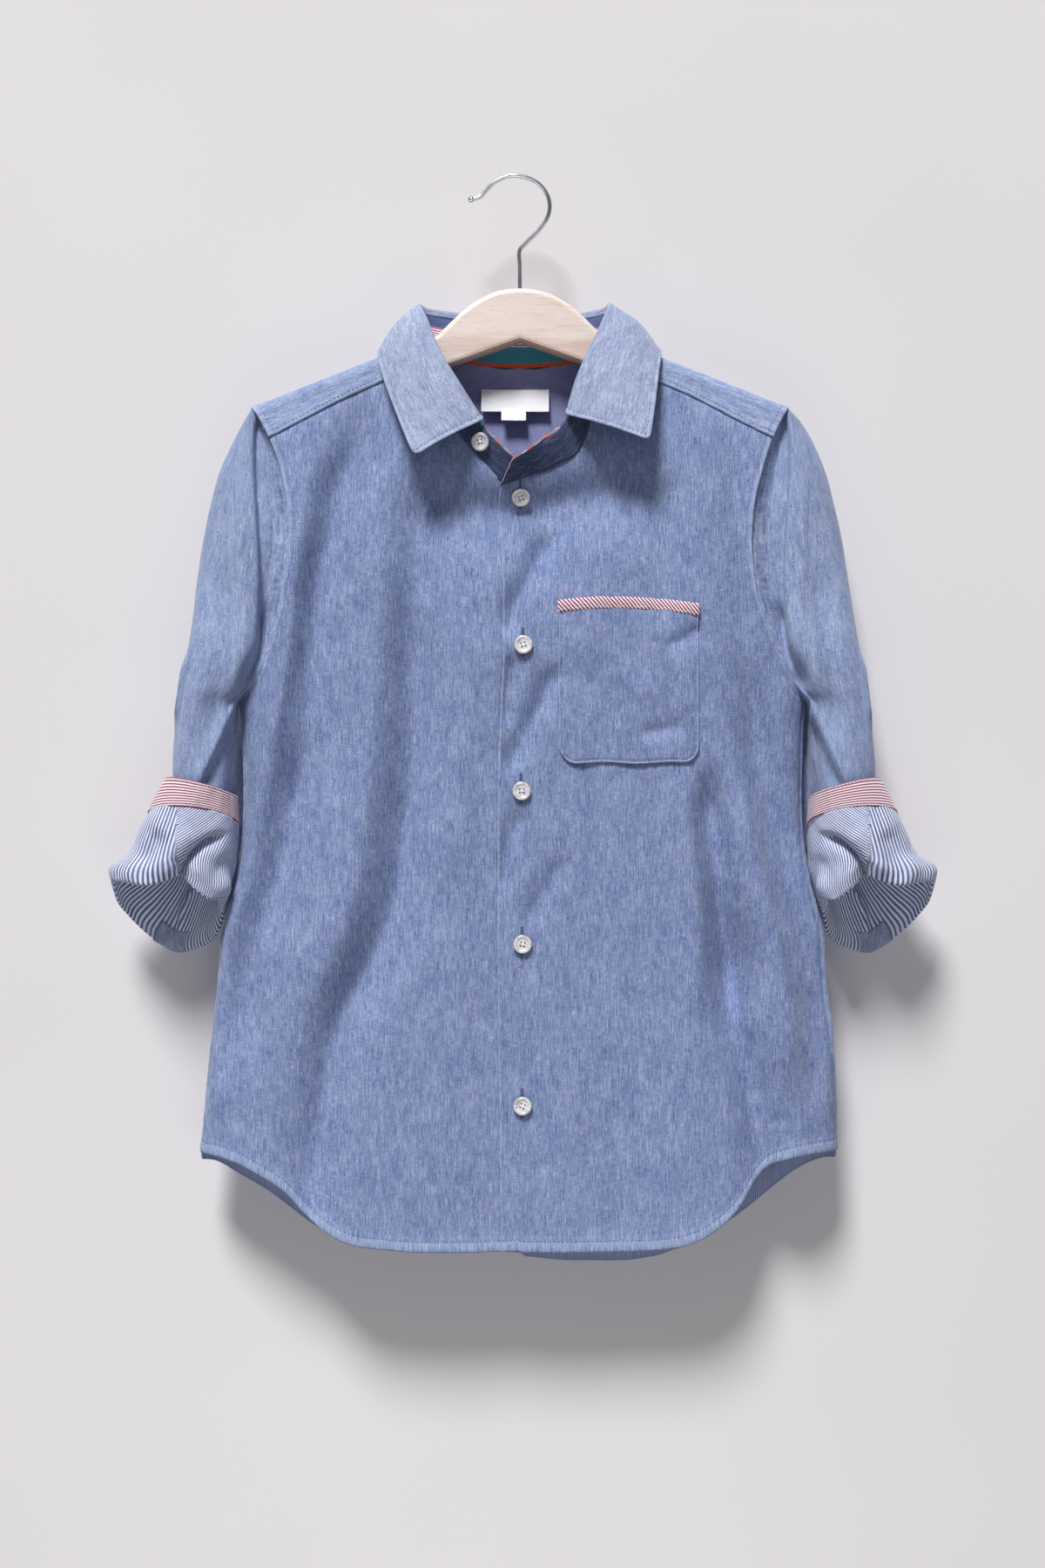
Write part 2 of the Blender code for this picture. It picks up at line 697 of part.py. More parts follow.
def yoke_inner(outer_count):
    """The neck edge as x and distance from the ridge, one place for each of the outer edge's points."""
    found = []
    for number in range(RIGHT_YOKE_POINT, LEFT_YOKE_POINT + 1):
        _, x, down = NECK_SEAM[number]
        face = BACK if RIGHT_RIDGE_POINT < number < LEFT_RIDGE_POINT else FRONT
        if number in (RIGHT_RIDGE_POINT, LEFT_RIDGE_POINT):
            down = ridge_down(x)
        found.append((x, float(ridge_length(x, down, face))))
    line = table(found)
    ridge = RIGHT_RIDGE_POINT - RIGHT_YOKE_POINT
    back = YOKE_BACK_ROW
    knots = [0, YOKE_FRONT_ROW, YOKE_FRONT_ROW + back]
    middle = (outer_count - 1) / 2
    knots = knots + [middle] + [2 * middle - knot for knot in reversed(knots)]
    centre = (len(line) - 1) / 2
    values = [0, ridge, ridge + 1.6]
    values = values + [centre] + [2 * centre - value for value in reversed(values)]
    at = np.interp(np.arange(outer_count), knots, values)
    cell = np.minimum(at.astype(int), len(line) - 2)
    part = (at - cell)[:, None]
    return line[cell] * (1 - part) + line[cell + 1] * part


def yoke_grid():
    outer = yoke_outer()
    inner = yoke_inner(len(outer))
    rows = table(YOKE_SHARES)[:, None, None]
    flat = inner[None] * (1 - rows) + outer[None] * rows
    for column, side in ((0, -1), (-1, 1)):
        seam = yoke_seam(side)
        flat[:, column, 0] = seam[:, 0]
        flat[:, column, 1] = ridge_length(seam[:, 0], seam[:, 1], FRONT)
    grid = over_ridge(flat[..., 0], flat[..., 1])
    for edge in ("top", "bottom", "first", "last"):
        grid = pulled_in(grid, edge)
    return grid


def band_grid(distance):
    """The collar band's sheet, moved out from its mid line. Its ends stand apart where they overlap."""
    lower = neck_points()
    spread = table(TIP_SPREAD)
    lower[: len(spread), 1] += spread
    lower[-len(spread) :, 1] -= spread[::-1]
    upper = table(BAND_TOP)
    rows = np.linspace(BAND_START, 1.0, 3)[:, None, None]
    grid = lower[None] * (1 - rows) + upper[None] * rows
    return moved(grid, distance)


def catmull(line, count):
    """A smooth curve through all the points of a short list, in equal shares of their number."""
    at = np.linspace(0, len(line) - 1, count)
    cell = np.minimum(at.astype(int), len(line) - 2)
    part = (at - cell)[:, None]
    padded = np.concatenate([2 * line[:1] - line[1:2], line, 2 * line[-1:] - line[-2:-1]])
    before, start, end, after = (padded[cell + shift] for shift in range(4))
    steady = 2 * start
    linear = (end - before) * part
    square = (2 * before - 5 * start + 4 * end - after) * part**2
    cube = (3 * start - before - 3 * end + after) * part**3
    return 0.5 * (steady + linear + square + cube)


def leaf_grid():
    data = catmull(table(LEAF), LEAF_STEPS + 1)
    fold, edge = data[:, :3], data[:, 3:]
    rows = table(LEAF_ROWS)[:, None, None]
    straight = fold[None] * (1 - rows) + edge[None] * rows
    bulge = LEAF_BULGE * np.sin(math.pi * table(LEAF_ROWS))[:, None, None]
    normals = grid_normals(straight)
    return straight - bulge * normals


def ring(outer_x, outer_down, inner_x, inner_down, middle_y, front, back, rise, drop):
    """A closed section of the sleeve, from its inner side by way of the front, side -1 taken as positive."""
    angle = np.linspace(0, 2 * math.pi, SLEEVE_SIDES + 1)
    across = (1 - np.cos(angle)) / 2
    height = np.sign(np.sin(angle)) * np.abs(np.sin(angle)) ** RING_SQUARENESS
    x = inner_x + (outer_x - inner_x) * across
    y = middle_y - np.where(height > 0, front, back) * height
    down = inner_down + (outer_down - inner_down) * across
    down = down - np.where(height > 0, rise, drop) * height
    return points(x, y, down)


def mouth_ring(outwards, up):
    """The sleeve's folded rim, moved outwards and up from its lowest line."""
    data = table(MOUTH)
    angle = np.linspace(0, 360, SLEEVE_SIDES + 1)
    around = points(*(smooth(angle, data[:, 0], data[:, column]) for column in (1, 2, 3)))
    centre = around[:-1].mean(axis=0)
    away = around - centre
    away[:, 2] = 0.0
    away = away / np.linalg.norm(away, axis=1, keepdims=True)
    return around + outwards * away - np.array([0.0, 0.0, up])


def cap_row(side, row):
    """A row of the sleeve beside the armhole, from the front seam over the outer edge to the back seam."""
    down = SEAM_ROWS[row]
    front = armhole_edge(side, FRONT, [row])[0]
    back = armhole_edge(side, BACK, [row])[0]
    outer_x = float(by_side(SLEEVE_EDGE, down, side))
    closing = float(np.clip((down - 235.0) / (UNDERARM_DOWN - 235.0), 0, 1))
    closing = closing * closing * (3 - 2 * closing)
    share = np.linspace(-1, 1, SLEEVE_SIDES + 1)
    turn = (1 - np.abs(share)) * math.pi / 2
    open_x = np.sin(turn)
    closed_x = (1 - np.cos(2 * turn)) / 2
    across = open_x * (1 - closing) + closed_x * closing
    seam_x = abs(front[0])
    x = seam_x + (outer_x - seam_x) * across
    seam_y = np.where(share < 0, front[1], back[1])
    puff = np.where(share < 0, -SLEEVE_FRONT, SLEEVE_BACK) * closing
    y = seam_y * np.cos(turn) + puff * np.sin(2 * turn) ** RING_SQUARENESS
    return points(x, y, down)


def sleeve_grid(side):
    """The sleeve in positive x: cap rows, the tube, the rolled mouth and the turned-up layer."""
    rows = [cap_row(side, row) for row in range(len(SEAM_ROWS))]
    shift = SLEEVE_SHIFT if side > 0 else 0.0
    lower = [ring(*sizes) for sizes in SLEEVE_RINGS]
    inner_mouth = mouth_ring(-MOUTH_FOLD, MOUTH_RISE)
    lower.append(0.5 * (lower[-1] + inner_mouth))
    lower.append(inner_mouth)
    lower.append(mouth_ring(0.0, 0.0))
    lower.append(mouth_ring(MOUTH_FOLD, MOUTH_RISE))
    lower.extend(ring(*sizes) for sizes in ROLL_RINGS)
    for section in lower:
        section[:, 0] += shift
    cap = np.stack(rows)
    cap = pulled_in(cap, "first")
    cap = pulled_in(cap, "last")
    cap[-1, 0] = cap[-1, -1] = 0.5 * (cap[-1, 0] + cap[-1, -1]) + np.array([UNDERARM_GAP, 0.0, 0.0])
    return np.concatenate([cap, np.stack(lower)])


def on_side(grid, side):
    """Turns a grid made in positive x to its own side, keeping its faces the same way out."""
    placed = grid * np.array([side, 1.0, 1.0])
    return placed if side < 0 else placed[:, ::-1]


def sleeve(side, name, finish):
    closed_from = len(SEAM_ROWS) - 1
    return cloth(f"sleeve_{name}", on_side(sleeve_grid(side), side), finish, closed_from=closed_from)


def cuff_band(side, name, finish):
    shift = SLEEVE_SHIFT if side > 0 else 0.0
    rings = [ring(*sizes) + np.array([shift, 0, 0]) for sizes in BAND_RINGS]
    return cloth(f"cuff_band_{name}", on_side(np.stack(rings), side), finish, closed_from=0)


def placket_patch(side, name, finish):
    """A small piece on the inner back wall of the mouth, made from the wall's own points."""
    grid = sleeve_grid(side)
    mouth = len(SEAM_ROWS) + len(SLEEVE_RINGS) + 1
    angles = np.linspace(0, 360, SLEEVE_SIDES + 1)
    at = np.linspace(*PLACKET_PATCH, 4)
    above = points(*(np.interp(at, angles, grid[mouth - 1][:, axis]) for axis in range(3)))
    rim = points(*(np.interp(at, angles, grid[mouth][:, axis]) for axis in range(3)))
    upwards = (above - rim) / np.linalg.norm(above - rim, axis=1, keepdims=True)
    wall = np.stack([rim + rise * upwards for rise in np.linspace(PLACKET_PATCH_RISE, 0.5, 3)])
    normals = grid_normals(wall)
    inwards = np.sign(np.sum(normals * (grid[mouth][:-1].mean(axis=0) - wall), axis=-1, keepdims=True))
    lifted = wall + (0.5 * CLOTH + SEAM_GAP + 0.5 * THIN_CLOTH + 0.2) * inwards * normals
    return cloth(f"sleeve_placket_{name}", on_side(lifted, side), finish, wall=THIN_CLOTH)


def pocket_grid():
    """The pocket's outline filled by rows that shorten round its lower corners."""
    turns = np.linspace(0, math.pi / 2, 5)
    corner_down = POCKET_BOTTOM - POCKET_CORNER * (1 - np.sin(turns))
    straight_down = np.linspace(POCKET_TOP, corner_down[0], 6)[:-1]
    down = np.concatenate([straight_down, corner_down])
    inset = np.concatenate([np.zeros(len(straight_down)), POCKET_CORNER * (1 - np.cos(turns))])
    middle = 0.5 * (POCKET_LEFT + POCKET_RIGHT)
    half = 0.5 * (POCKET_RIGHT - POCKET_LEFT) - inset
    share = np.linspace(-1, 1, 9)
    x = middle + half[:, None] * share[None]
    tilt = POCKET_SKEW * 0.5 * share[None] - BINDING_ARCH * (1 - share[None] ** 2)
    fade = np.clip((POCKET_BOTTOM - down[:, None]) / (POCKET_BOTTOM - POCKET_TOP), 0, 1)
    rows_down = down[:, None] + tilt * fade
    return x, rows_down


def on_left_front(x, down, distance):
    return points(x, body_y(x, down, FRONT) - overlap_rise(x) - distance, down)


def binding_grid():
    share = np.linspace(-1, 1, 9)
    middle = 0.5 * (POCKET_LEFT + POCKET_RIGHT)
    half = 0.5 * (POCKET_RIGHT - POCKET_LEFT) + BINDING_OVERHANG
    x = np.broadcast_to(middle + half * share, (2, 9))
    lower = POCKET_TOP + POCKET_SKEW * 0.5 * share - BINDING_ARCH * (1 - share**2) - SEAM_GAP
    down = np.stack([lower - BINDING_HEIGHT, lower])
    return x, down


def label_grid(box, distance):
    left, top, right, bottom = box
    x = np.broadcast_to(np.linspace(left, right, 5), (3, 5))
    down = np.broadcast_to(np.linspace(top, bottom, 3)[:, None], (3, 5))
    return points(x, body_y(x, down, BACK) - distance, down)


def button(name, place, outward, finish):
    """A dished four-hole button, its back at a place and its face along outward."""
    profile = (  # radius, height
        (0.0, BUTTON_THICKNESS - BUTTON_DISH),
        (BUTTON_RADIUS - BUTTON_RIM - 0.5, BUTTON_THICKNESS - BUTTON_DISH),
        (BUTTON_RADIUS - BUTTON_RIM, BUTTON_THICKNESS),
        (BUTTON_RADIUS - 0.4, BUTTON_THICKNESS),
        (BUTTON_RADIUS, BUTTON_THICKNESS - 0.5),
        (BUTTON_RADIUS - 0.5, 0.3),
        (BUTTON_RADIUS - 1.4, 0.0),
        (0.0, 0.0),
    )
    shape = bmesh.new()
    line = [shape.verts.new((radius * MM, 0.0, height * MM)) for radius, height in profile]
    edges = [shape.edges.new(pair) for pair in zip(line, line[1:])]
    bmesh.ops.spin(
        shape,
        geom=line + edges,
        cent=(0, 0, 0),
        axis=(0, 0, 1),
        angle=2 * math.pi,
        steps=BUTTON_SIDES,
    )
    bmesh.ops.remove_doubles(shape, verts=shape.verts, dist=1e-6)
    bmesh.ops.recalc_face_normals(shape, faces=shape.faces)
    mesh = bpy.data.meshes.new(name)
    shape.to_mesh(mesh)
    shape.free()
    mesh.materials.append(finish)
    thing = bpy.data.objects.new(name, mesh)
    bpy.context.scene.collection.objects.link(thing)
    for corner in range(4):
        angle = math.pi / 4 + corner * math.pi / 2
        hole = bpy.data.meshes.new(f"{name}_hole")
        shape = bmesh.new()
        bmesh.ops.create_cone(
            shape,
            cap_ends=True,
            segments=BUTTON_HOLE_SIDES,
            radius1=BUTTON_HOLE_RADIUS * MM,
            radius2=BUTTON_HOLE_RADIUS * MM,
            depth=4 * BUTTON_THICKNESS * MM,
        )
        reach = BUTTON_HOLE_OFFSET * MM
        place_x, place_y = reach * math.cos(angle), reach * math.sin(angle)
        bmesh.ops.translate(shape, verts=shape.verts, vec=(place_x, place_y, 0))
        shape.to_mesh(hole)
        shape.free()
        cutter = bpy.data.objects.new(f"{name}_cutter_{corner}", hole)
        bpy.context.scene.collection.objects.link(cutter)
        cutter.hide_render = True
        cutter.display_type = "WIRE"
        cutter.parent = thing
        cut = thing.modifiers.new(f"hole_{corner}", "BOOLEAN")
        cut.operation = "DIFFERENCE"
        cut.object = cutter
    thing.location = to_metres(place)[0]
    tilt = np.array([outward[0], outward[1], -outward[2]])
    thing.rotation_euler = (
        math.atan2(math.hypot(tilt[0], tilt[1]), tilt[2]),
        0.0,
        math.atan2(tilt[1], tilt[0]) + math.pi / 2,
    )
    mesh.shade_smooth()
    mesh.set_sharp_from_angle(angle=math.radians(35))
    return thing


def front_buttons(finish):
    for name, x, down in BUTTONS:
        around = on_left_front(
            np.array([[x - 4, x, x + 4]] * 3),
            np.array([[down - 4] * 3, [down] * 3, [down + 4] * 3]),
            0.5 * CLOTH + SEAM_GAP,
        )
        outward = -grid_normals(around)[1, 1] * np.sign(grid_normals(around)[1, 1][1])
        button(name, around[1, 1] + 0.15 * outward, outward, finish)


def collar_button(finish):
    """The button on the right end of the collar band."""
    grid = band_grid(0.5 * CLOTH + 0.15)
    at = COLLAR_BUTTON_AT
    cell = int(at)
    middle = grid[1]
    place = middle[cell] * (cell + 1 - at) + middle[cell + 1] * (at - cell)
    outward = grid_normals(grid)[1, cell]
    outward = outward * -np.sign(outward[1])
    button("button_collar", place + (0.5 * CLOTH + SEAM_GAP + 0.1) * outward, outward, finish)


def hanger_outline():
    """The hanger's outline from the front, clockwise from its middle top."""
    top = table(HANGER_TOP)
    crown_x = np.linspace(0, top[-2, 0], 9)
    crown = np.stack([crown_x, smooth(crown_x, top[:, 0], top[:, 1])], axis=1)
    arm_x = np.linspace(64.0, HANGER_END_X - 7.0, 7)
    arm = np.stack([arm_x, ridge_down(arm_x) + HANGER_DROP], axis=1)
    end = table(
        [
            (HANGER_END_X - 2.2, ridge_down(HANGER_END_X) + 1.6),
            (HANGER_END_X, HANGER_END_DOWN - 2.0),
            (HANGER_END_X - 1.6, HANGER_END_DOWN + 5.0),
            (HANGER_END_X - 6.0, HANGER_END_DOWN + 7.6),
        ]
    )
    under = table(HANGER_UNDERSIDE)[::-1]
    half = np.concatenate([crown, arm, end, under])
    other = half[1:-1][::-1] * np.array([-1.0, 1.0])
    return np.concatenate([half, other])


def hanger_wood(finish):
    outline = hanger_outline()
    shape = bmesh.new()
    places = to_metres(points(outline[:, 0], -0.5 * HANGER_THICKNESS, outline[:, 1]))
    face = shape.faces.new([shape.verts.new(place) for place in places])
    grown = bmesh.ops.extrude_face_region(shape, geom=[face])
    raised = [item for item in grown["geom"] if isinstance(item, bmesh.types.BMVert)]
    bmesh.ops.translate(shape, verts=raised, vec=(0, HANGER_THICKNESS * MM, 0))
    bmesh.ops.recalc_face_normals(shape, faces=shape.faces)
    mesh = bpy.data.meshes.new("hanger_wood")
    shape.to_mesh(mesh)
    shape.free()
    mesh.materials.append(finish)
    thing = bpy.data.objects.new("hanger_wood", mesh)
    bpy.context.scene.collection.objects.link(thing)
    bevel = thing.modifiers.new("rounding", "BEVEL")
    bevel.width = HANGER_ROUNDING * MM
    bevel.segments = 3
    bevel.limit_method = "ANGLE"
    bevel.angle_limit = math.radians(60)
    mesh.shade_smooth()
    mesh.set_sharp_from_angle(angle=math.radians(40))
    return thing


def hanger_hook(finish):
    """The wire as a tube on a smooth curve, with a ball at its free end."""
    path = catmull(table([(x, 0.0, down) for x, down in HOOK_PATH]), HOOK_POINTS)
    sides = HOOK_SIDES
    turn = np.linspace(0, 2 * math.pi, sides, endpoint=False)
    along = np.gradient(path, axis=0)
    along = along / np.linalg.norm(along, axis=1, keepdims=True)
    across = np.cross(along, np.array([0.0, 1.0, 0.0]))
    rings, radii = list(path), [HOOK_WIRE] * HOOK_POINTS
    sideways = list(across)
    for step, radius in HOOK_BALL:
        rings.append(path[-1] + along[-1] * step)
        radii.append(radius)
        sideways.append(across[-1])
    vertices = []
    for place, radius, side in zip(rings, radii, sideways):
        for angle in turn:
            offset = side * math.cos(angle) + np.array([0.0, math.sin(angle), 0.0])
            vertices.append(place + radius * offset)
    faces = []
    for row in range(len(rings) - 1):
        for step in range(sides):
            low, high = row * sides + step, row * sides + (step + 1) % sides
            faces.append((low, high, high + sides, low + sides))
    last = (len(rings) - 1) * sides
    faces.append(tuple(range(sides))[::-1])
    faces.append(tuple(range(last, last + sides)))
    thing = add_object("hanger_hook", to_metres(np.array(vertices)), faces, finish)
    outside = bmesh.new()
    outside.from_mesh(thing.data)
    bmesh.ops.recalc_face_normals(outside, faces=outside.faces)
    outside.to_mesh(thing.data)
    outside.free()
    return thing


def build():
    for thing in list(bpy.data.objects):
        bpy.data.objects.remove(thing)
    face_cloth = material("face_cloth", (0.22, 0.28, 0.47), 0.88)
    striped = material("striped_facing", (0.30, 0.52, 0.60), 0.85)
    pink = material("pink_stripe", (0.66, 0.46, 0.53), 0.85)
    white = material("label_cloth", (0.80, 0.80, 0.82), 0.7)
    shell = material("button_shell", (0.62, 0.60, 0.60), 0.3)
    wood = material("pale_wood", (0.82, 0.70, 0.60), 0.5)
    steel = material("steel_wire", (0.66, 0.66, 0.67), 0.25, 1.0)
    cloth("back", back_grid(), face_cloth)
    cloth("yoke", yoke_grid(), face_cloth)
    cloth("front_right", front_grid(-1), face_cloth)
    cloth("front_left", front_grid(1), face_cloth)
    cloth("collar_stand", band_grid(0.15), face_cloth)
    cloth("stand_facing", band_grid(-1.2), striped, wall=THIN_CLOTH)
    cloth("collar", leaf_grid(), face_cloth, wall=LEAF_THICKNESS)
    for side, name in ((-1, "right"), (1, "left")):
        sleeve(side, name, face_cloth)
        cuff_band(side, name, pink)
        placket_patch(side, name, face_cloth)
    pocket_x, pocket_down = pocket_grid()
    on_panel = 0.5 * CLOTH + SEAM_GAP + 0.5 * CLOTH + 0.1
    cloth("pocket", on_left_front(pocket_x, pocket_down, on_panel), face_cloth)
    binding_x, binding_down = binding_grid()
    on_pocket = 0.5 * CLOTH + SEAM_GAP + 0.5 * BINDING_THICKNESS + 0.1
    cloth("pocket_binding", on_left_front(binding_x, binding_down, on_pocket), pink, wall=BINDING_THICKNESS)
    on_yoke = 0.5 * CLOTH + SEAM_GAP + 0.5 * LABEL_THICKNESS + 0.1
    cloth("label", label_grid(LABEL, on_yoke), white, wall=LABEL_THICKNESS)
    cloth("size_label", label_grid(SIZE_LABEL, on_yoke), white, wall=LABEL_THICKNESS)
    front_buttons(shell)
    collar_button(shell)
    hanger_wood(wood)
    hanger_hook(steel)


build()
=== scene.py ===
"""Looks of the knit shirt with turned-up sleeves, on its wooden hanger with a wire hook.

Tables hold millimetres in the garment's own frame, as in the CAD source: x across from the middle of
the garment, y from the hanger's mid-plane towards the back, and "down", the drop below the garment's
datum level. Sides are the wearer's: side -1 is the right, at -x, and side 1 is the left, at +x.
"""

import math

import bpy
import numpy as np
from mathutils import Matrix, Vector


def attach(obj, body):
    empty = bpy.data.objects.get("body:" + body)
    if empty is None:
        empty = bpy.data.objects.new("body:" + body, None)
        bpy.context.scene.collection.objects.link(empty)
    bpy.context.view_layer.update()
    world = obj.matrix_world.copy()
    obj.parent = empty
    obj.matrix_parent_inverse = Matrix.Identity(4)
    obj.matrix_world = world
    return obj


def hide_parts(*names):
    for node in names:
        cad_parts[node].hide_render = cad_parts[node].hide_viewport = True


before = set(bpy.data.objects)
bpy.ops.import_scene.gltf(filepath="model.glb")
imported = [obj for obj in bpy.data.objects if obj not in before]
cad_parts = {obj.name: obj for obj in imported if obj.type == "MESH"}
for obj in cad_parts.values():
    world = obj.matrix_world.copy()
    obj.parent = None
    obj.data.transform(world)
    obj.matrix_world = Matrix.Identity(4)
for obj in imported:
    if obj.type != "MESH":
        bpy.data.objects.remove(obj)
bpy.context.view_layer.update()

# The garment's frame, seen from the origin at the inner crown of the hanger's hook
MM = 0.001
CENTRE_X = 3.8
DATUM_Z = -4.6
FRONT, BACK = -1, 1
FORWARDS, BACKWARDS = (0, -1, 0), (0, 1, 0)
SIDES = ((-1, "right"), (1, "left"))

# The body's sheet: a round ridge over the hanger, then a swell towards the chest and the back
RIDGE_DOWN = 72.5
RIDGE_SLOPE = 0.394
RIDGE_RADIUS = 9.0
CHEST_SWELL = 16.0
CHEST_REACH = 55.0
BACK_SWELL = 10.0
BACK_REACH = 35.0
SWELL_POWER = 1.12
SIDE_Y = 2.0
SIDE_ROUNDING = 7
UNDERARM_DOWN = 318.0

# Half widths of the body; above the underarm the armhole cuts the sheet before it turns round
HALF_WIDTH = (  # down, right, left
    (60, 320, 320), (138, 260, 260), (180, 215, 216), (222, 184, 185.5), (262, 171.5, 174), (290, 170.5, 173.5),
    (318, 172.6, 175.8), (336, 170.9, 174.4), (378, 169.9, 173.6), (399, 170.9, 174.6), (424, 174.2, 178),
    (444, 179.5, 183), (463, 183.6, 187.6), (484, 185.2, 188.7), (514, 188.7, 192.2), (533, 190.8, 193.8),
    (562, 193.5, 194.8), (597, 196.6, 195.2), (640, 199, 198), (690, 201, 200),
)

ARMHOLE = (  # down, right, left: the armhole seam's distance from the middle
    (138, 165.2, 165.2), (144, 160.6, 161.4), (158, 153.2, 154.6), (175, 146.7, 148.6), (203, 141.1, 142.2),
    (222, 140, 141), (247, 143.5, 143.2), (275, 148.2, 151.4), (301, 157.5, 163), (311, 165.6, 169.9),
    (318, 172.6, 175.8),
)
# The armhole seam's rows as down; the front and back yoke seams meet it at two of them
SEAM_ROWS = (138, 139.2, 141.3, 144, 150, 158, 175, 195, 218, 244, 268, 288, 303, 312, 318)
YOKE_FRONT_DOWN = SEAM_ROWS[5]
YOKE_BACK_DOWN = SEAM_ROWS[6]
YOKE_TOP_DOWN = 138.02

YOKE_SEAM = (  # distance from the middle, down
    (57.5, 112.3), (84, 123.3), (107, 133.5), (128, 144.6), (154, 158),
)

NECK_SEAM = (  # name, x, down: the band's lower edge, from the right front end round the back to the left one
    ("right tip", -3, 193.5), ("right tip in", -12, 184.5), ("right front", -25.7, 169.3),
    ("right leaf end", -35.7, 157.7), ("right slope", -50, 136.5), ("right yoke", -59.5, 113),
    ("right ridge front", -61.6, 102.2), ("right ridge front in", -62.4, 98.6), ("right ridge", -62.6, 97.2),
    ("right ridge back in", -61.8, 98.3), ("right ridge back", -59.6, 101.2), ("right back", -50, 104),
    ("right back in", -28, 107.5), ("back", 0, 109), ("left back in", 28, 107.5), ("left back", 49, 104),
    ("left ridge back", 58.6, 100.8), ("left ridge back in", 60.8, 97.9), ("left ridge", 61.6, 96.8),
    ("left ridge front in", 61.4, 98.2), ("left ridge front", 60.6, 101.8), ("left yoke", 58.5, 112.6),
    ("left slope", 47.5, 134), ("left leaf end", 36.5, 165), ("left front", 20, 177), ("left tip in", 4, 182.5),
    ("left tip", -11.5, 187.5),
)
RIGHT_YOKE_POINT, RIGHT_RIDGE_POINT = 5, 8
LEFT_RIDGE_POINT, LEFT_YOKE_POINT = 18, 21
YOKE_POINTS = {-1: RIGHT_YOKE_POINT, 1: LEFT_YOKE_POINT}
TIP_SPREAD = (0.8, 0.5, 0.2)  # how far the band's overlapping ends stand apart at their first points

BAND_TOP = (  # x, y, down: the band's upper edge at each neck seam point
    (7, -20.6, 179.5), (-3.8, -24.6, 170.5), (-14.6, -26.4, 160.5), (-22.2, -25.4, 151.5), (-40.2, -21.5, 125),
    (-54, -15, 98.5), (-57.8, -9.2, 85), (-59.4, -5, 80.6), (-60.2, -1, 78.2), (-59.6, 3.8, 77.5), (-57, 8.6, 77.4),
    (-47, 13.8, 78), (-27, 17.6, 79.6), (0, 19, 81), (26, 17.6, 79.6), (44, 13.8, 78), (51.8, 8.6, 77.2),
    (53.8, 3.8, 77.2), (54.2, -1, 77.8), (53.4, -5, 80), (51.6, -9.2, 84.4), (48.8, -15, 95.5), (36.6, -21.5, 118),
    (27.6, -26.6, 148.6), (12.1, -30.6, 161.8), (3.9, -32, 168.6), (-4.2, -32.4, 173.6),
)

LEAF = (  # fold x, y, down, then outer edge x, y, down: the collar leaf from its right to its left point
    (-22.4, -28, 150, -62.6, -42, 174.4), (-40, -25, 122.6, -69.2, -35, 159.4),
    (-53.6, -16.5, 95.6, -81.4, -22.5, 127), (-61.8, -4, 75.4, -87.2, -5, 104),
    (-57.5, 11.5, 74, -81.5, 14.5, 107.5), (-33, 19.8, 75.8, -47, 24.5, 117), (0, 21.8, 78, 0, 26, 121.5),
    (31, 19.8, 75.8, 46, 24.5, 117), (52, 11.5, 74, 80, 14.5, 107), (55.6, -4, 74.6, 86.6, -5, 103.4),
    (49.6, -16.5, 91.6, 83.6, -22, 122), (38.2, -25, 114.4, 82, -31, 136.5), (28.2, -29, 147, 77.4, -42, 165.2),
)
LEAF_BULGE = 3.0
LEAF_CORNER = 5.0
BAND_START = -0.03  # share of the band's height where its cloth starts, under the neck seam
BAND_ROWS = 11

PLACKET_EDGE = (  # down, x
    (187.5, -11.5), (196, -13.1), (242, -10.5), (285, -10.3), (330, -12), (378, -13.6), (421, -13.6), (651, -11.5),
)
UNDERLAP_X = 14.0
OVERLAP_RISE = 0.8
OVERLAP_FADE = 45.0

HEM = (  # distance from the middle, right front, left front, right back, left back: down at the hem
    (0, 650.5, 651.5, 662, 664), (35, 652, 651.5, 661, 667), (62, 651.8, 651.3, 660, 667),
    (83, 650, 650.2, 659.3, 664.5), (97, 648.6, 648.4, 658.5, 660), (107, 645.8, 645.4, 655.5, 656.5),
    (122, 637.5, 636, 648.5, 647.5), (131, 629.5, 627.5, 643, 642), (144, 614.5, 609.6, 633, 632),
    (157, 606.3, 598.7, 623, 621), (174, 598.4, 594.2, 612.5, 608), (190, 595.2, 593.3, 602.5, 600.5),
    (200, 595, 593.3, 600, 599),
)
SIDE_HEM = {-1: 596.5, 1: 594.5}

SLEEVE_EDGE = (  # down, right, left: the sleeve's outer edge beside the armhole
    (138, 165.2, 165.2), (144, 169, 171.4), (156, 175.3, 179), (170, 182.4, 185.5), (188, 188.2, 190.8),
    (216, 193.9, 197.6), (247, 198.8, 202.9), (275, 202.6, 207.4), (301, 206.8, 211.3), (318, 209.3, 213.1),
)
SLEEVE_SHIFT = {-1: 0.0, 1: 3.8}
SLEEVE_FRONT = 22.0
SLEEVE_BACK = 17.0

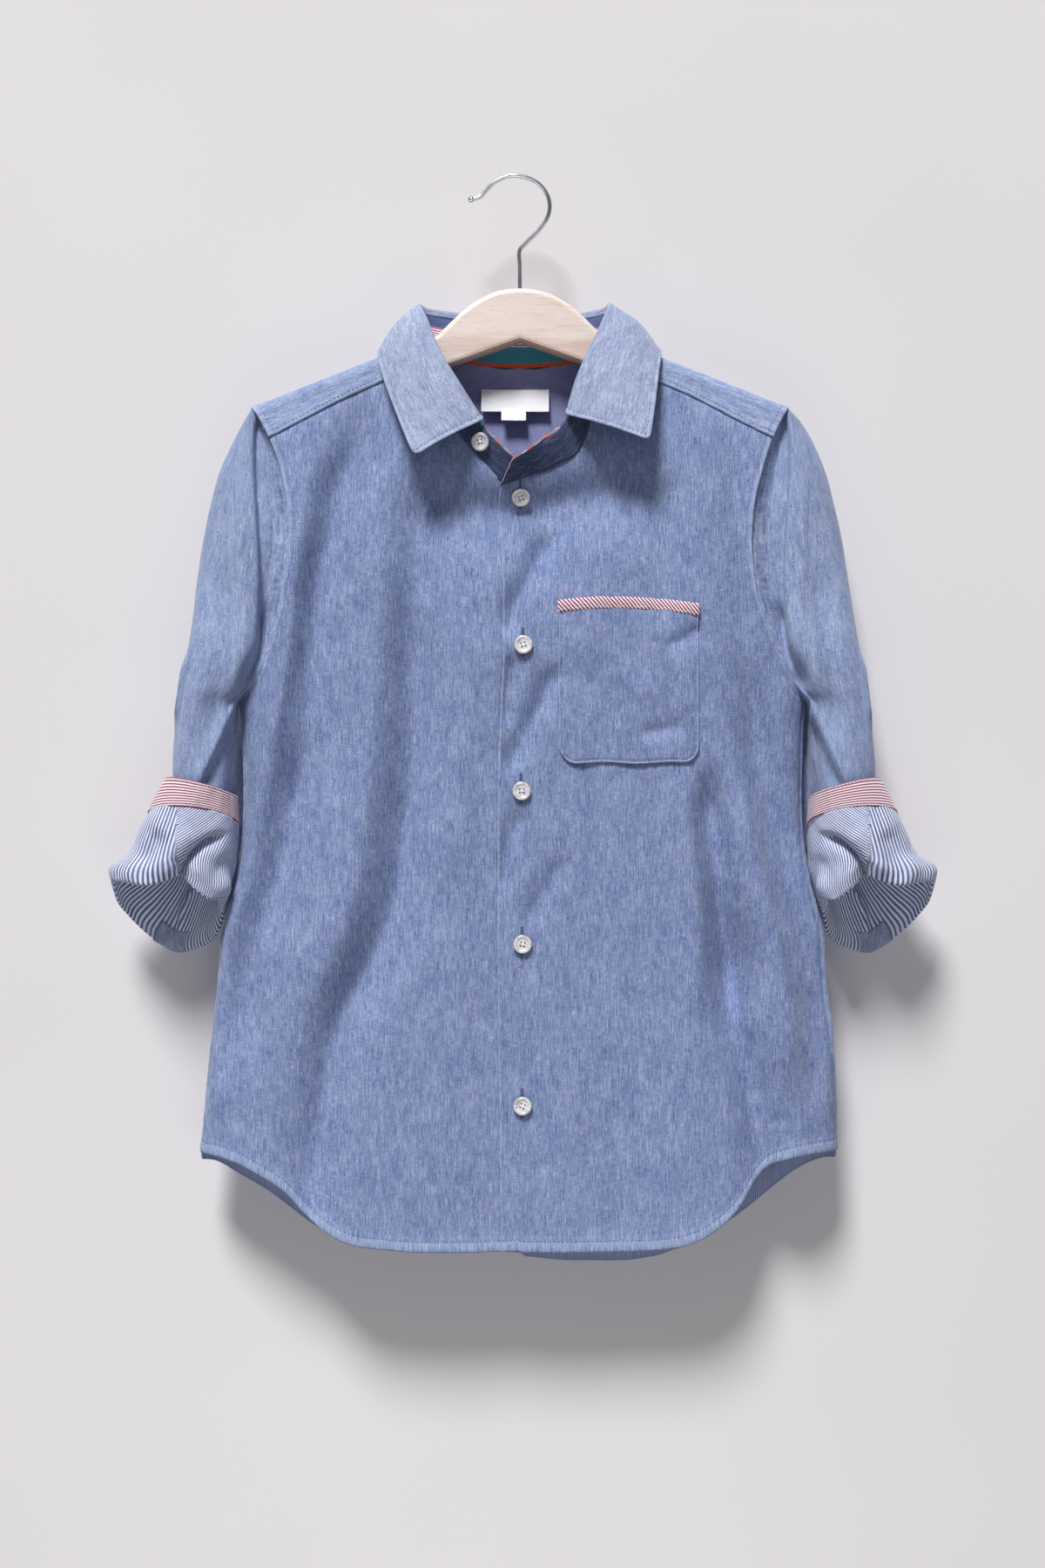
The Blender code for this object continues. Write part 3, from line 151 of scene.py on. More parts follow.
SLEEVE_RINGS = (  # outer x, outer down, inner x, inner down, middle y, front, back, front rise, back drop
    (211.9, 336, 174.4, 335, -2, 22, 17, 0, 0), (213.2, 353, 176.4, 353, -3, 21.5, 17.5, 0, 2),
    (213.2, 371, 178.6, 373, -4, 19.5, 17.5, 0, 4), (214, 392, 181, 396, -4, 18, 17, 1, 8),
    (224, 408, 182, 420, -4, 18.5, 17.5, 4, 22),
)
ROLL_RINGS = (  # the same columns, on the turned-up layer from the mouth to the band
    (239, 411.5, 175.6, 421, -4, 27, 24, 4, 30), (231.6, 397.5, 173.8, 403, -4, 26.5, 23.5, 8, 26),
    (227, 389.6, 173.4, 394, -4, 24.5, 22.5, 9.5, 22),
)
BAND_RINGS = (
    (226.8, 389.15, 173.4, 393.55, -4, 24.4, 22.4, 9.5, 22), (221.6, 377.6, 173.8, 385, -4, 23.4, 21.6, 7, 20),
    (215.8, 366.6, 174.4, 377, -4, 22.4, 20.8, 4.5, 18),
)
RING_SQUARENESS = 0.86

MOUTH = (  # angle from the inner side by way of the front, x, y, down
    (0, 183.2, 1, 447), (30, 178.4, -15, 438), (52, 186, -25, 438.5), (70, 196, -27, 431.5), (86, 205, -25, 423.5),
    (100, 213, -28, 426.5), (118, 225, -28, 429.5), (142, 239, -20, 428), (176, 249.5, -6, 427.2),
    (200, 248.5, 3, 441), (225, 241.5, 10, 452), (250, 228.5, 16, 465), (275, 214, 20, 473.5), (305, 199, 18, 470),
    (335, 187.5, 11, 462), (360, 183.2, 1, 447),
)
MOUTH_FOLD = 1.7
MOUTH_RISE = 4.0
PLACKET_PATCH = (254, 280)

POCKET_LEFT, POCKET_RIGHT = 23.6, 108.2
POCKET_TOP, POCKET_BOTTOM = 266.6, 356.4
POCKET_MIDDLE = 0.5 * (POCKET_LEFT + POCKET_RIGHT)
POCKET_HALF = 0.5 * (POCKET_RIGHT - POCKET_LEFT)
POCKET_SKEW = 2.0
POCKET_CORNER = 11.0
BINDING_OVERHANG = 0.6
BINDING_ARCH = 3.0

LABEL = (-24, 123.2, 18, 137.4)
SIZE_LABEL = (-11.6, 137.8, 3.8, 142.6)

BUTTONS = (  # name, x, down
    ("button_1", 0.6, 194.3), ("button_2", 2.1, 285), ("button_3", 1.1, 373.1), ("button_4", 1.6, 465.4),
    ("button_5", 1.6, 562.9),
)
COLLAR_BUTTON_AT = 2.35
BUTTON_HOLE_RADIUS = 0.65
BUTTON_HOLE_REACH = 1.4375  # from the button's middle to each hole's
SHARP_ANGLE = 40
BUTTON_PROFILE = (  # radius, height
    (4.4, 0), (5.35, 0.35), (5.7, 0.85), (5.8, 1.25), (5.72, 1.65), (5.4, 1.98), (4.9, 2.16), (4.4, 2.18),
    (3.95, 2.02), (3.6, 1.74), (3.2, 1.58), (2.4, 1.5),
)
LOOSE_THREAD = ((1.2, 471.8), (2.2, 474.2), (1.6, 476.8), (-0.8, 479), (-3.2, 480.8), (-4.6, 483.6))

HOOK_WIRE = 1.35
HOOK_PATH = (  # x, down: the wire from the wood over the crown to its ball
    (0, 63.9), (-0.1, 50), (-0.3, 40.8), (3.7, 35.7), (11.3, 28.1), (16.6, 20.6), (18.4, 13.4), (17, 6.4),
    (12.9, 0.4), (7, -3.6), (0.2, -5.6), (-5.4, -5.9), (-11.3, -4.3), (-16.6, -1.1), (-20.4, 2.9), (-24, 6.8),
    (-28.4, 8.3),
)
HOOK_BALL = (  # distance from the wire's end, radius
    (0.2, 1.36), (0.5, 1.6), (1, 1.78), (1.7, 1.86), (2.4, 1.78), (3, 1.5), (3.4, 1.1), (3.65, 0.6), (3.72, 0.05),
)

# The visible cloth: thin shells on the solids' form
SHELL = 0.65
CELL = 2.5
UNDER_YOKE = 2.6
UNDER_BODY = 2.6
EDGE_STEPS = (0, 0.5, 1, 1.6, 2.3, 3.1, 4, 4.9, 5.8, 7, 8.6, 10.6)
HEM_STEPS = (0, 0.5, 1, 2.4, 4.4, 5.8, 6.6, 7.4, 8.2, 9.4, 11.2)
BINDING_STEPS = (0, 0.3, 0.7, 1.3)
TOP_STEPS = (0, 0.9, 1.8, 2.6, 3.6, 5, 7)
FOLD_STEPS = (0, 0.4, 0.8, 1.3, 2, 3, 4.4, 6.2)
ARMHOLE_STITCH = 4.2
ARMHOLE_STITCH_END = UNDERARM_DOWN - 4
YOKE_STITCH = 3.0
HEM_STITCH = 6.6
LEAF_STITCH = 3.1
POCKET_STITCH = 1.4
SIDE_RIDGE = 4.8
STITCH_PITCH = 2.6
STITCH_LENGTH = 1.7
STITCH_RADIUS = 0.16
STITCH_SIDES = 6
CAPSULE = ((0, 0), (0.12, 0.75), (0.3, 1), (0.7, 1), (0.88, 0.75), (1, 0))  # share of the length and of the radius

# Creases of the body: a trough is positive, with its widths towards -x and +x and its path of x, down
CREASES = (
    (FRONT, 13, 12, 20, ((-97, 118), (-101, 150), (-104, 170), (-112, 191), (-115, 212), (-120, 233), (-124, 254),
        (-125, 275), (-128, 296), (-129, 317), (-130, 338), (-133, 359), (-138, 380), (-141, 400))),
    (FRONT, 15, 12, 12, ((-128, 330), (-133, 359), (-137, 380), (-141, 400), (-147, 421), (-154, 442), (-161, 463),
        (-166, 484), (-171, 520), (-175, 560))),
    (FRONT, -6.8, 8, 6, ((-123, 160), (-130, 200), (-134, 233), (-137, 260), (-140, 290), (-145, 318), (-151, 350),
        (-157, 380), (-167, 420), (-175, 450), (-181, 480), (-186, 520))),
    (FRONT, -6.4, 13, 13, ((-87, 150), (-89, 180), (-88, 220), (-85, 260), (-87, 310), (-90, 360), (-95, 400),
        (-103, 440), (-123, 490), (-135, 540))),
    (FRONT, 12.5, 13, 14, ((-57, 180), (-64, 212), (-66, 254), (-65, 296), (-64, 338), (-66, 369), (-70, 395),
        (-73, 421), (-77, 442), (-84, 463), (-94, 484), (-108, 510), (-116, 540), (-121, 568), (-125, 600),
        (-128, 640), (-130, 700))),
    (FRONT, -2.56, 14, 16, ((-27, 250), (-27, 300), (-30, 340), (-37, 400), (-45, 450))),
    (FRONT, -3.84, 9, 5, ((99, 350), (103, 400), (107, 440), (108, 480), (107, 520))),
    (FRONT, -9, 12, 8, ((131, 350), (134, 375), (138, 400), (144, 430), (152, 460), (159, 490), (164, 530),
        (168, 570))),
    (FRONT, 12.8, 8, 13, ((113, 350), (116, 390), (120, 421), (123, 445), (128, 470), (130, 500), (132, 520))),
    (FRONT, 14.5, 13, 10, ((118, 421), (121, 445), (126, 470), (130, 510), (135, 526), (140, 547), (144, 568),
        (149, 600), (154, 640), (159, 700))),
    (FRONT, 14.5, 12, 10, ((131, 280), (140, 310), (144, 340), (147, 358), (152, 380), (158, 400), (165, 421),
        (170, 442), (176, 463), (182, 484), (185, 520), (187, 570))),
    (FRONT, -5, 5, 6, ((-168, 400), (-173, 430), (-180, 460), (-184, 500), (-187, 560), (-190, 600))),
    (FRONT, -3.4, 6, 5, ((158, 390), (166, 420), (174, 450), (183, 480), (187, 530), (190, 600))),
    (FRONT, 3.4, 9, 7, ((124, 142), (131, 190), (133, 242), (137, 295), (146, 345))),
    (FRONT, 3.4, 22, 13, ((84, 170), (90, 212), (88, 254), (80, 280))),
    (FRONT, -2.6, 16, 14, ((44, 200), (50, 240), (46, 270), (40, 310))),
    (FRONT, -1.6, 20, 20, ((-40, 430), (-42, 480), (-46, 540), (-50, 640))),
    (FRONT, 7.5, 5, 8, ((-6, 286), (-5, 279), (-3, 262), (4, 248), (12, 232), (22, 212))),
    (FRONT, 3.6, 4, 6, ((-3, 288), (-7, 312), (-9, 337))),
    (FRONT, 6, 5, 8, ((-9, 366), (0.5, 348), (6, 334), (14.2, 318), (24, 292))),
    (FRONT, 3.6, 5, 5, ((1.5, 381), (-6, 405), (-10, 436))), (FRONT, 3, 5, 6, ((2, 459), (14, 436), (30, 412))),
    (FRONT, 1.6, 6, 6, ((0, 556), (-14, 528), (-30, 500))), (FRONT, 3, 5, 6, ((112, 272), (98, 282), (84, 286))),
    (FRONT, 2.8, 6, 6, ((68, 339), (84, 337), (102, 332))), (FRONT, -1.4, 6, 7, ((48, 298), (66, 308), (86, 320))),
    (FRONT, 2.4, 7, 7, ((-60, 185), (-62, 215), (-60, 262))),
    (FRONT, 12, 15, 32, ((90, 168), (62, 184), (36, 196), (6, 203), (-24, 202), (-54, 192), (-80, 176))),
    (BACK, 6.4, 20, 22, ((-88, 200), (-95, 300), (-102, 430), (-112, 620))),
    (BACK, 5, 16, 18, ((-26, 250), (-28, 350), (-33, 480), (-38, 650))),
    (BACK, 5.4, 19, 19, ((36, 225), (42, 340), (48, 480), (54, 645))),
    (BACK, 6.4, 21, 20, ((106, 205), (114, 320), (122, 450), (130, 600))),
    (BACK, 1.6, 8, 8, ((-126, 190), (-134, 240), (-142, 300), (-150, 345))),
    (BACK, 1.6, 8, 8, ((127, 190), (136, 240), (144, 300), (152, 345))),
    (BACK, -3, 18, 18, ((-62, 300), (-64, 420), (-70, 560))), (BACK, -3, 18, 18, ((78, 300), (82, 420), (88, 560))),
)
CREASE_ENDS = 0.24
NECK_MIDDLE = (0.0, -4.0, 0.0)
SLEEVE_CREASES = (  # side, face, then as above; x counts from the middle on both sides
    (-1, FRONT, 13, 3, 10, ((154, 122), (148, 150), (146.5, 182), (143, 204), (142, 224), (144.5, 245), (147, 264),
        (149.5, 280), (151, 296))),
    (-1, FRONT, 9, 3, 4.5, ((147, 255), (150, 272), (154.5, 287), (160, 299), (166, 308), (171, 316))),
    (-1, FRONT, 5.5, 6, 2, ((158, 112), (160, 138), (160, 165), (158.6, 190), (156.5, 215), (154.6, 240),
        (154.4, 264), (156.4, 284), (160, 300))),
    (-1, FRONT, -2, 4, 4, ((170, 160), (171, 200), (169, 240), (166, 280), (170, 305))),
    (-1, FRONT, 4.2, 7, 8, ((178, 225), (180.3, 258), (184, 320), (188.7, 352))),
    (-1, FRONT, -3, 3, 4, ((171.5, 312), (183.1, 342.5), (198, 376))),
    (-1, FRONT, 3.2, 6, 3, ((172, 326), (181, 350), (192, 376))),
    (1, FRONT, 13, 3, 10, ((155, 122), (149.5, 150), (148, 182), (144.5, 204), (143.5, 224), (145.5, 245),
        (149, 264), (152.5, 280), (155, 296))),
    (1, FRONT, 9, 3, 4.5, ((149, 255), (153, 272), (158.5, 287), (165, 299), (170, 308), (174, 316))),
    (1, FRONT, 5.5, 6, 2, ((160, 112), (162, 138), (162, 165), (161, 190), (159, 215), (157.4, 240), (157.2, 264),
        (159.8, 284), (164, 300))),
    (1, FRONT, -2, 4, 4, ((172, 165), (173, 200), (171, 240), (168, 280), (173, 305))),
    (1, FRONT, 4.2, 7, 8, ((180, 230), (184, 270), (190, 320), (193, 350))),
    (1, FRONT, -3, 3, 4, ((174.7, 314), (186.3, 342.5), (201, 376))),
    (1, FRONT, 3.2, 6, 3, ((175, 326), (184, 350), (195, 376))),
    (-1, BACK, 5.4, 5, 8, ((166, 160), (163, 215), (160, 262), (165, 310))),
    (-1, BACK, 3.4, 7, 8, ((180, 235), (184, 280), (190, 345))),
    (1, BACK, 5.4, 5, 8, ((169, 160), (166, 215), (163, 262), (168, 310))),
    (1, BACK, 3.4, 7, 8, ((183, 235), (188, 280), (194, 345))),
)
CUFF_CREASES = (  # depth, widths and path on the front of a turned-up sleeve, x from the middle
    (11, 1.3, 4.2, ((207, 440), (205.5, 430), (204, 421), (200.5, 413), (195, 406.5), (188, 401.5), (181, 399),
        (176, 399))),
    (-2.2, 6, 6, ((214, 428), (210, 414), (203, 404), (193, 396))),
    (2.6, 6, 7, ((214, 396), (219, 404.6), (224, 416), (229.5, 430))),
    (1.6, 5, 5, ((236, 400), (240, 412), (243, 428))),
    (2.4, 4, 6, ((181, 446), (184, 432), (182, 420), (176, 410))),
)
PLEAT = (
    (208, 446), (205.5, 430), (204, 421), (200.5, 413), (195, 406.5), (188, 401.5), (181, 400), (174, 402),
    (164, 408),
)
PLEAT_LEAN = 1.15
FAN_LEAN = 0.62
RIPPLE = 0.42
PUSH_SHARES = (0.35, 1.0, 0.0)  # how much of a sleeve's crease goes along x, y and down
SLEEVE_COLUMNS = 168
TUBE_CELL = 1.9
ROLL_CELL = 1.15
ARMPIT_FRONT = 17.0
SLEEVE_AROUND = 170.0
BAND_LENGTH = 22.6
BAND_STITCH_ROWS = (21.2, 1.4)
STAND_OFF = 0.55  # the band's outer and inner cloth from its mid line

# Colours as 0 to 255 in sRGB
# The collar band's tones are darker than the face cloth's: painted shade under the collar leaf
BAND_SHADED_TONES = ((42, 50, 80), (62, 71, 100), (88, 98, 126))
# The sleeves' and the yoke's tones are lighter than the face cloth's: painted light where they face the lamp
SLEEVE_AND_YOKE_LIT_TONES = ((92, 109, 152), (134, 149, 184), (175, 186, 212))
# The collar leaf's tones are lighter than the face cloth's: painted light on its upturned face
LEAF_LIT_TONES = ((108, 121, 154), (146, 157, 185), (187, 194, 214))
FACE_TONES = ((82, 99, 146), (121, 136, 175), (163, 174, 205))

# The view and its lights, in metres from the part's origin
CAMERA_AT = (0.0054, -1.215, -0.3735)
LENS = 45.28
SENSOR_WIDTH = 36.0
WALL_Y = 0.034
FLOOR_Z = -1.05
WORLD_LIGHT = 0.27
LIGHTS = (  # name, place, target, size, power
    ("key", (-1.4, -4.35, 6.4), (0, 0, -0.35), 2.2, 880),
    ("low_fill", (0, -0.62, -0.98), (0, 0.03, -0.74), 0.8, 1.6),
    ("back_fill", (0.9, 1.9, 0.9), (0, 0, -0.35), 1.6, 20),
)


def table(rows):
    return np.array(rows, dtype=float)


def step_up(value, start, end):
    """0 before start, 1 after end, smooth between."""
    part = np.clip((value - start) / (end - start), 0, 1)
    return part * part * (3 - 2 * part)


def bump(value, at, width):
    return np.exp(-(((value - at) / width) ** 2))


def unit(vectors):
    return vectors / np.maximum(np.linalg.norm(vectors, axis=-1, keepdims=True), 1e-9)


def running(steps):
    """The length run at each point, from the lengths of the steps between them."""
    return np.concatenate([[0], np.cumsum(steps)])


def full_turn(count):
    return np.linspace(0, 2 * math.pi, count, endpoint=False)


def hermite(at, knots, values, tangents):
    """The curve through rows of values at uneven knots, with its slopes at the knots."""
    steps = np.diff(knots)
    cell = np.clip(np.searchsorted(knots, at, side="right") - 1, 0, len(steps) - 1)
    shape = np.shape(cell) + (1,) * (values.ndim - 1)
    width = steps[cell].reshape(shape)
    part = ((at - knots[cell]) / steps[cell]).reshape(shape)
    start = values[cell] * (1 + 2 * part) * (1 - part) ** 2
    end = values[cell + 1] * part * part * (3 - 2 * part)
    leave = tangents[cell] * part * (1 - part) ** 2
    arrive = tangents[cell + 1] * part * part * (part - 1)
    return start + end + width * (leave + arrive)


def smooth(at, knots, values):
    """Values at given places of the smooth curve through a short table, with no overshoot."""
    at = np.clip(np.asarray(at, dtype=float), knots[0], knots[-1])
    slopes = np.diff(values) / np.diff(knots)
    product = slopes[:-1] * slopes[1:]
    total = np.where(product > 0, slopes[:-1] + slopes[1:], 1.0)
    inner = np.where(product > 0, 2 * product / total, 0.0)
    return hermite(at, knots, values, np.concatenate([slopes[:1], inner, slopes[-1:]]))


def spline(at, knots, values):
    """The smooth curve through rows of values of any shape, at uneven knots."""
    steps = np.diff(knots).reshape(-1, *(1,) * (values.ndim - 1))
    slopes = np.diff(values, axis=0) / steps
    near = steps[1:] / (steps[:-1] + steps[1:])
    inner = slopes[:-1] * near + slopes[1:] * (1 - near)
    return hermite(at, knots, values, np.concatenate([slopes[:1], inner, slopes[-1:]]))


def through(line, at):
    """Places of the smooth curve through the rows of a table, counted in rows."""
    return spline(at, np.arange(len(line), dtype=float), table(line))


def catmull(line, count):
    """A smooth curve through the rows of a table, in equal shares of their number."""
    return through(line, np.linspace(0, len(line) - 1, count))


def places(length, starts, ends, cell=CELL):
    """Shares from 0 to 1 of a length, closer together near its two ends."""
    first, last = starts[-1], length - ends[-1]
    middle = np.linspace(first, last, max(3, round((last - first) / cell) + 1))
    return np.concatenate([table(starts[:-1]), middle, length - table(ends[-2::-1])]) / length


def by_side(rows, down, side):
    """The right or left column of a table of down, right, left."""
    data = table(rows)
    return smooth(down, data[:, 0], data[:, 1 if side < 0 else 2])


def ridge_down(x):
    return RIDGE_DOWN + RIDGE_SLOPE * np.abs(x)


def fullness(x, down):
    """1 on the garment's middle, 0 where the body's sheet turns round at the side."""
    right = by_side(HALF_WIDTH, down, -1)
    left = by_side(HALF_WIDTH, down, 1)
    ratio = np.clip(np.abs(x) / np.where(x < 0, right, left), 0, 1)
    return np.sqrt(1 - ratio**SIDE_ROUNDING)


def swell(below, face):
    """How far the sheet stands out below the hanger's round ridge, towards the chest or the back."""
    size, reach = (CHEST_SWELL, CHEST_REACH) if face == FRONT else (BACK_SWELL, BACK_REACH)
    return size * (1 - np.exp(-((np.maximum(below, 0) / reach) ** SWELL_POWER)))


def along_path(x, down, path):
    """Share of the way along a path, and the distance from it, positive towards +x on the way down."""
    nearest = np.full(x.shape, np.inf)
    share, signed = np.zeros(x.shape), np.zeros(x.shape)
    steps = np.diff(path, axis=0)
    lengths = np.hypot(steps[:, 0], steps[:, 1])
    before = running(lengths)
    for number, (step, length) in enumerate(zip(steps, lengths)):
        off_x, off_down = x - path[number, 0], down - path[number, 1]
        part = np.clip((off_x * step[0] + off_down * step[1]) / length**2, 0, 1)
        off_x, off_down = off_x - part * step[0], off_down - part * step[1]
        distance = np.hypot(off_x, off_down)
        side = np.sign(off_x * step[1] - off_down * step[0])
        closer = distance < nearest
        nearest = np.where(closer, distance, nearest)
        share = np.where(closer, (before[number] + part * length) / before[-1], share)
        signed = np.where(closer, side * distance, signed)
    return share, signed


def crease(x, down, depth, to_right, to_left, path):
    """A trough that fades towards the ends of its path, with its own width on each side."""
    share, off = along_path(x, down, catmull(path, 4 * len(path)))
    ends = step_up(share, 0, CREASE_ENDS) * step_up(1 - share, 0, CREASE_ENDS)
    return depth * ends * np.exp(-np.abs(off / np.where(off < 0, to_right, to_left)) ** 1.7)


def ripples(across, along, seed, longest=85.0):
    """Soft uneven waves that run mostly along the cloth, about 1 high."""
    draw = np.random.default_rng(seed)
    total = np.zeros(np.broadcast(across, along).shape)
    for _ in range(14):
        wave = longest * draw.uniform(0.28, 1.0)
        lean = draw.uniform(-0.35, 0.35)
        phase = draw.uniform(0, 2 * math.pi)
        total += wave / longest * np.sin(2 * math.pi * (across + lean * along) / wave + phase)
    return total / 2.6


def body_y(x, down, face):
    """Depth of the body's sheet at a place seen from the front, with its creases."""
    x, down = np.broadcast_arrays(np.asarray(x, dtype=float), np.asarray(down, dtype=float))
    below = np.maximum(down - ridge_down(x), 0)
    round_part = np.minimum(below, RIDGE_RADIUS) / RIDGE_RADIUS
    depth = RIDGE_RADIUS * np.sqrt(1 - (1 - round_part) ** 2) + swell(below - RIDGE_RADIUS, face)
    for crease_face, *shape in CREASES:
        if crease_face == face:
            depth = depth - crease(x, down, *shape)
    depth = depth + RIPPLE * ripples(x, down, 11 + face) * step_up(below, 15, 90)
    side_y = SIDE_Y * np.clip((down - 250) / 70, 0, 1)
    full = fullness(x, down)
    return side_y * (1 - full) + face * depth * full


def ridge_length(x, down, face):
    """Distance along the sheet from the shoulder's ridge, negative on the front."""
    below = np.maximum(down - ridge_down(x), 0)
    turned = RIDGE_RADIUS * np.arccos(1 - np.minimum(below, RIDGE_RADIUS) / RIDGE_RADIUS)
    return face * (turned + np.maximum(below - RIDGE_RADIUS, 0))


def over_ridge(x, length):
    """A point of the sheet over the shoulder, from its distance along the sheet."""
    face = np.where(length < 0, FRONT, BACK)
    quarter = RIDGE_RADIUS * math.pi / 2
    angle = np.minimum(np.abs(length), quarter) / RIDGE_RADIUS
    below = RIDGE_RADIUS * (1 - np.cos(angle)) + np.maximum(np.abs(length) - quarter, 0)
    down = ridge_down(x) + below
    y = np.where(face < 0, body_y(x, down, FRONT), body_y(x, down, BACK))
    return np.stack([x, y, down], axis=-1)


def points(x, y, down):
    x, y, down = np.broadcast_arrays(x, y, down)
    return np.stack([x, y, down], axis=-1).astype(float)


def facing(grid, outward):
    """Unit normals of a grid of points, turned to the side of one outward direction or of one at each point."""
    normals = unit(np.cross(np.gradient(grid, axis=1), np.gradient(grid, axis=0)))
    return normals * np.sign(np.mean(np.sum(normals * np.asarray(outward, dtype=float), axis=-1)))


def sideways(away):
    """Directions without their part up or down."""
    return away * (1.0, 1.0, 0.0)


def off_neck(grid):
    """Directions away from the upright line through the neck's middle."""
    return sideways(grid - NECK_MIDDLE)


def off_middle(grid):
    """Directions away from the middle of each ring of a closed grid."""
    return grid - grid[:, :-1].mean(axis=1)[:, None]


def off_ridge(grid):
    """Directions away from a line under the shoulders' ridge."""
    return grid - points(grid[..., 0], 0.0, ridge_down(grid[..., 0]) + 30)


def halves(grid):
    """The two halves of a grid's columns."""
    half = grid.shape[1] // 2
    return slice(0, half), slice(half, None)


def by_ends(grid):
    """Distance along the cloth to the nearer end of a grid's rows."""
    return np.minimum(from_edge(grid, "first"), from_edge(grid, "last"))


def raised(grid, relief, normals):
    return grid + relief[..., None] * normals


def from_edge(grid, edge):
    """Distance along the cloth from one edge of a grid to each of its points."""
    axis = 0 if edge in ("top", "bottom") else 1
    steps = np.linalg.norm(np.diff(grid, axis=axis), axis=-1)
    if edge in ("bottom", "last"):
        steps = np.flip(steps, axis)
    start = np.zeros_like(np.take(steps, [0], axis=axis))
    distance = np.cumsum(np.concatenate([start, steps], axis=axis), axis=axis)
    return np.flip(distance, axis) if edge in ("bottom", "last") else distance


def patch(top, bottom, start, end, across, along):
    """A grid between four edges that meet at their corners: columns run from start to end."""
    across, along = across[None, :, None], along[:, None, None]
    ruled_down = (1 - along) * top[None] + along * bottom[None]
    ruled_across = (1 - across) * start[:, None] + across * end[:, None]
    corners = (1 - along) * ((1 - across) * top[0] + across * top[-1])
    corners = corners + along * ((1 - across) * bottom[0] + across * bottom[-1])
    return ruled_down + ruled_across - corners


def to_metres(grid):
    grid = np.asarray(grid, dtype=float)
    return np.stack([grid[..., 0] + CENTRE_X, grid[..., 1], DATUM_Z - grid[..., 2]], axis=-1) * MM


def pucker(along, seed):
    """Small uneven waves along a seam, about 1 high."""
    draw = np.random.default_rng(seed)
    total = np.zeros_like(along)
    for wave in (5.5, 7.3, 9.9, 14.0, 23.0):
        total += np.sin(2 * math.pi * along / wave + draw.uniform(0, 2 * math.pi))
    return total / 2.4


def stitched(distance, stitch, along, seed, lift=0.45):
    """Relief of a stitched edge: thick up to its row of stitches, which pull it in."""
    thick = lift * (1 - step_up(distance, stitch + 0.8, stitch + 2.6))
    rolled = -0.5 * bump(distance, 0, 0.6)
    waves = 0.16 * pucker(along, seed) * (1 - step_up(distance, stitch + 1, stitch + 8))
    return thick + rolled - 0.34 * bump(distance, stitch, 0.8) + waves


def overlap_rise(x):
    """How far a front stands off the body's sheet where the two fronts overlap."""
    inside = 1 - np.clip((np.abs(x) - UNDERLAP_X) / OVERLAP_FADE, 0, 1)
    return OVERLAP_RISE * inside * inside * (3 - 2 * inside)


def neck_points():
    """The neck seam as points of the body's sheet."""
    x, down = table([(x, down) for _, x, down in NECK_SEAM]).T
    number = np.arange(len(x))
    on_back = (number > RIGHT_RIDGE_POINT) & (number < LEFT_RIDGE_POINT)
    on_ridge = (number == RIGHT_RIDGE_POINT) | (number == LEFT_RIDGE_POINT)
    down = np.where(on_ridge, ridge_down(x), down)
    rise = overlap_rise(x) * np.where(number < RIGHT_RIDGE_POINT, -1, 1)
    y = np.where(on_back, body_y(x, down, BACK), body_y(x, down, FRONT) - rise)
    return np.stack([x, y, down], axis=1)


def hem_down(x, face):
    data = table(HEM)
    right, left = (1, 2) if face == FRONT else (3, 4)
    on_right = smooth(np.abs(x), data[:, 0], data[:, right])
    on_left = smooth(np.abs(x), data[:, 0], data[:, left])
    return np.where(x < 0, on_right, on_left)


def body_edge(side, down):
    """Distance from the middle to a panel's edge down its armhole and side."""
    armhole = by_side(ARMHOLE, down, side)
    return side * np.where(down < UNDERARM_DOWN, armhole, by_side(HALF_WIDTH, down, side))


def yoke_seam(side, x):
    """How far down the front yoke seam is at a distance from the middle."""
    data = table(YOKE_SEAM)
    _, neck_x, neck_down = NECK_SEAM[YOKE_POINTS[side]]
    ends = table([(abs(neck_x), neck_down), (abs(body_edge(side, YOKE_FRONT_DOWN)), YOKE_FRONT_DOWN)])
    inner = data[(data[:, 0] > ends[0, 0] + 3) & (data[:, 0] < ends[1, 0] - 3)]
    line = np.concatenate([ends[:1], inner, ends[1:]])
    return smooth(np.abs(x), line[:, 0], line[:, 1])


def side_edge(side, top_down, hem, along):
    """A panel's edge down its armhole and side, without its depth."""
    down = top_down + along * (hem - top_down)
    return points(body_edge(side, down), 0.0, down)


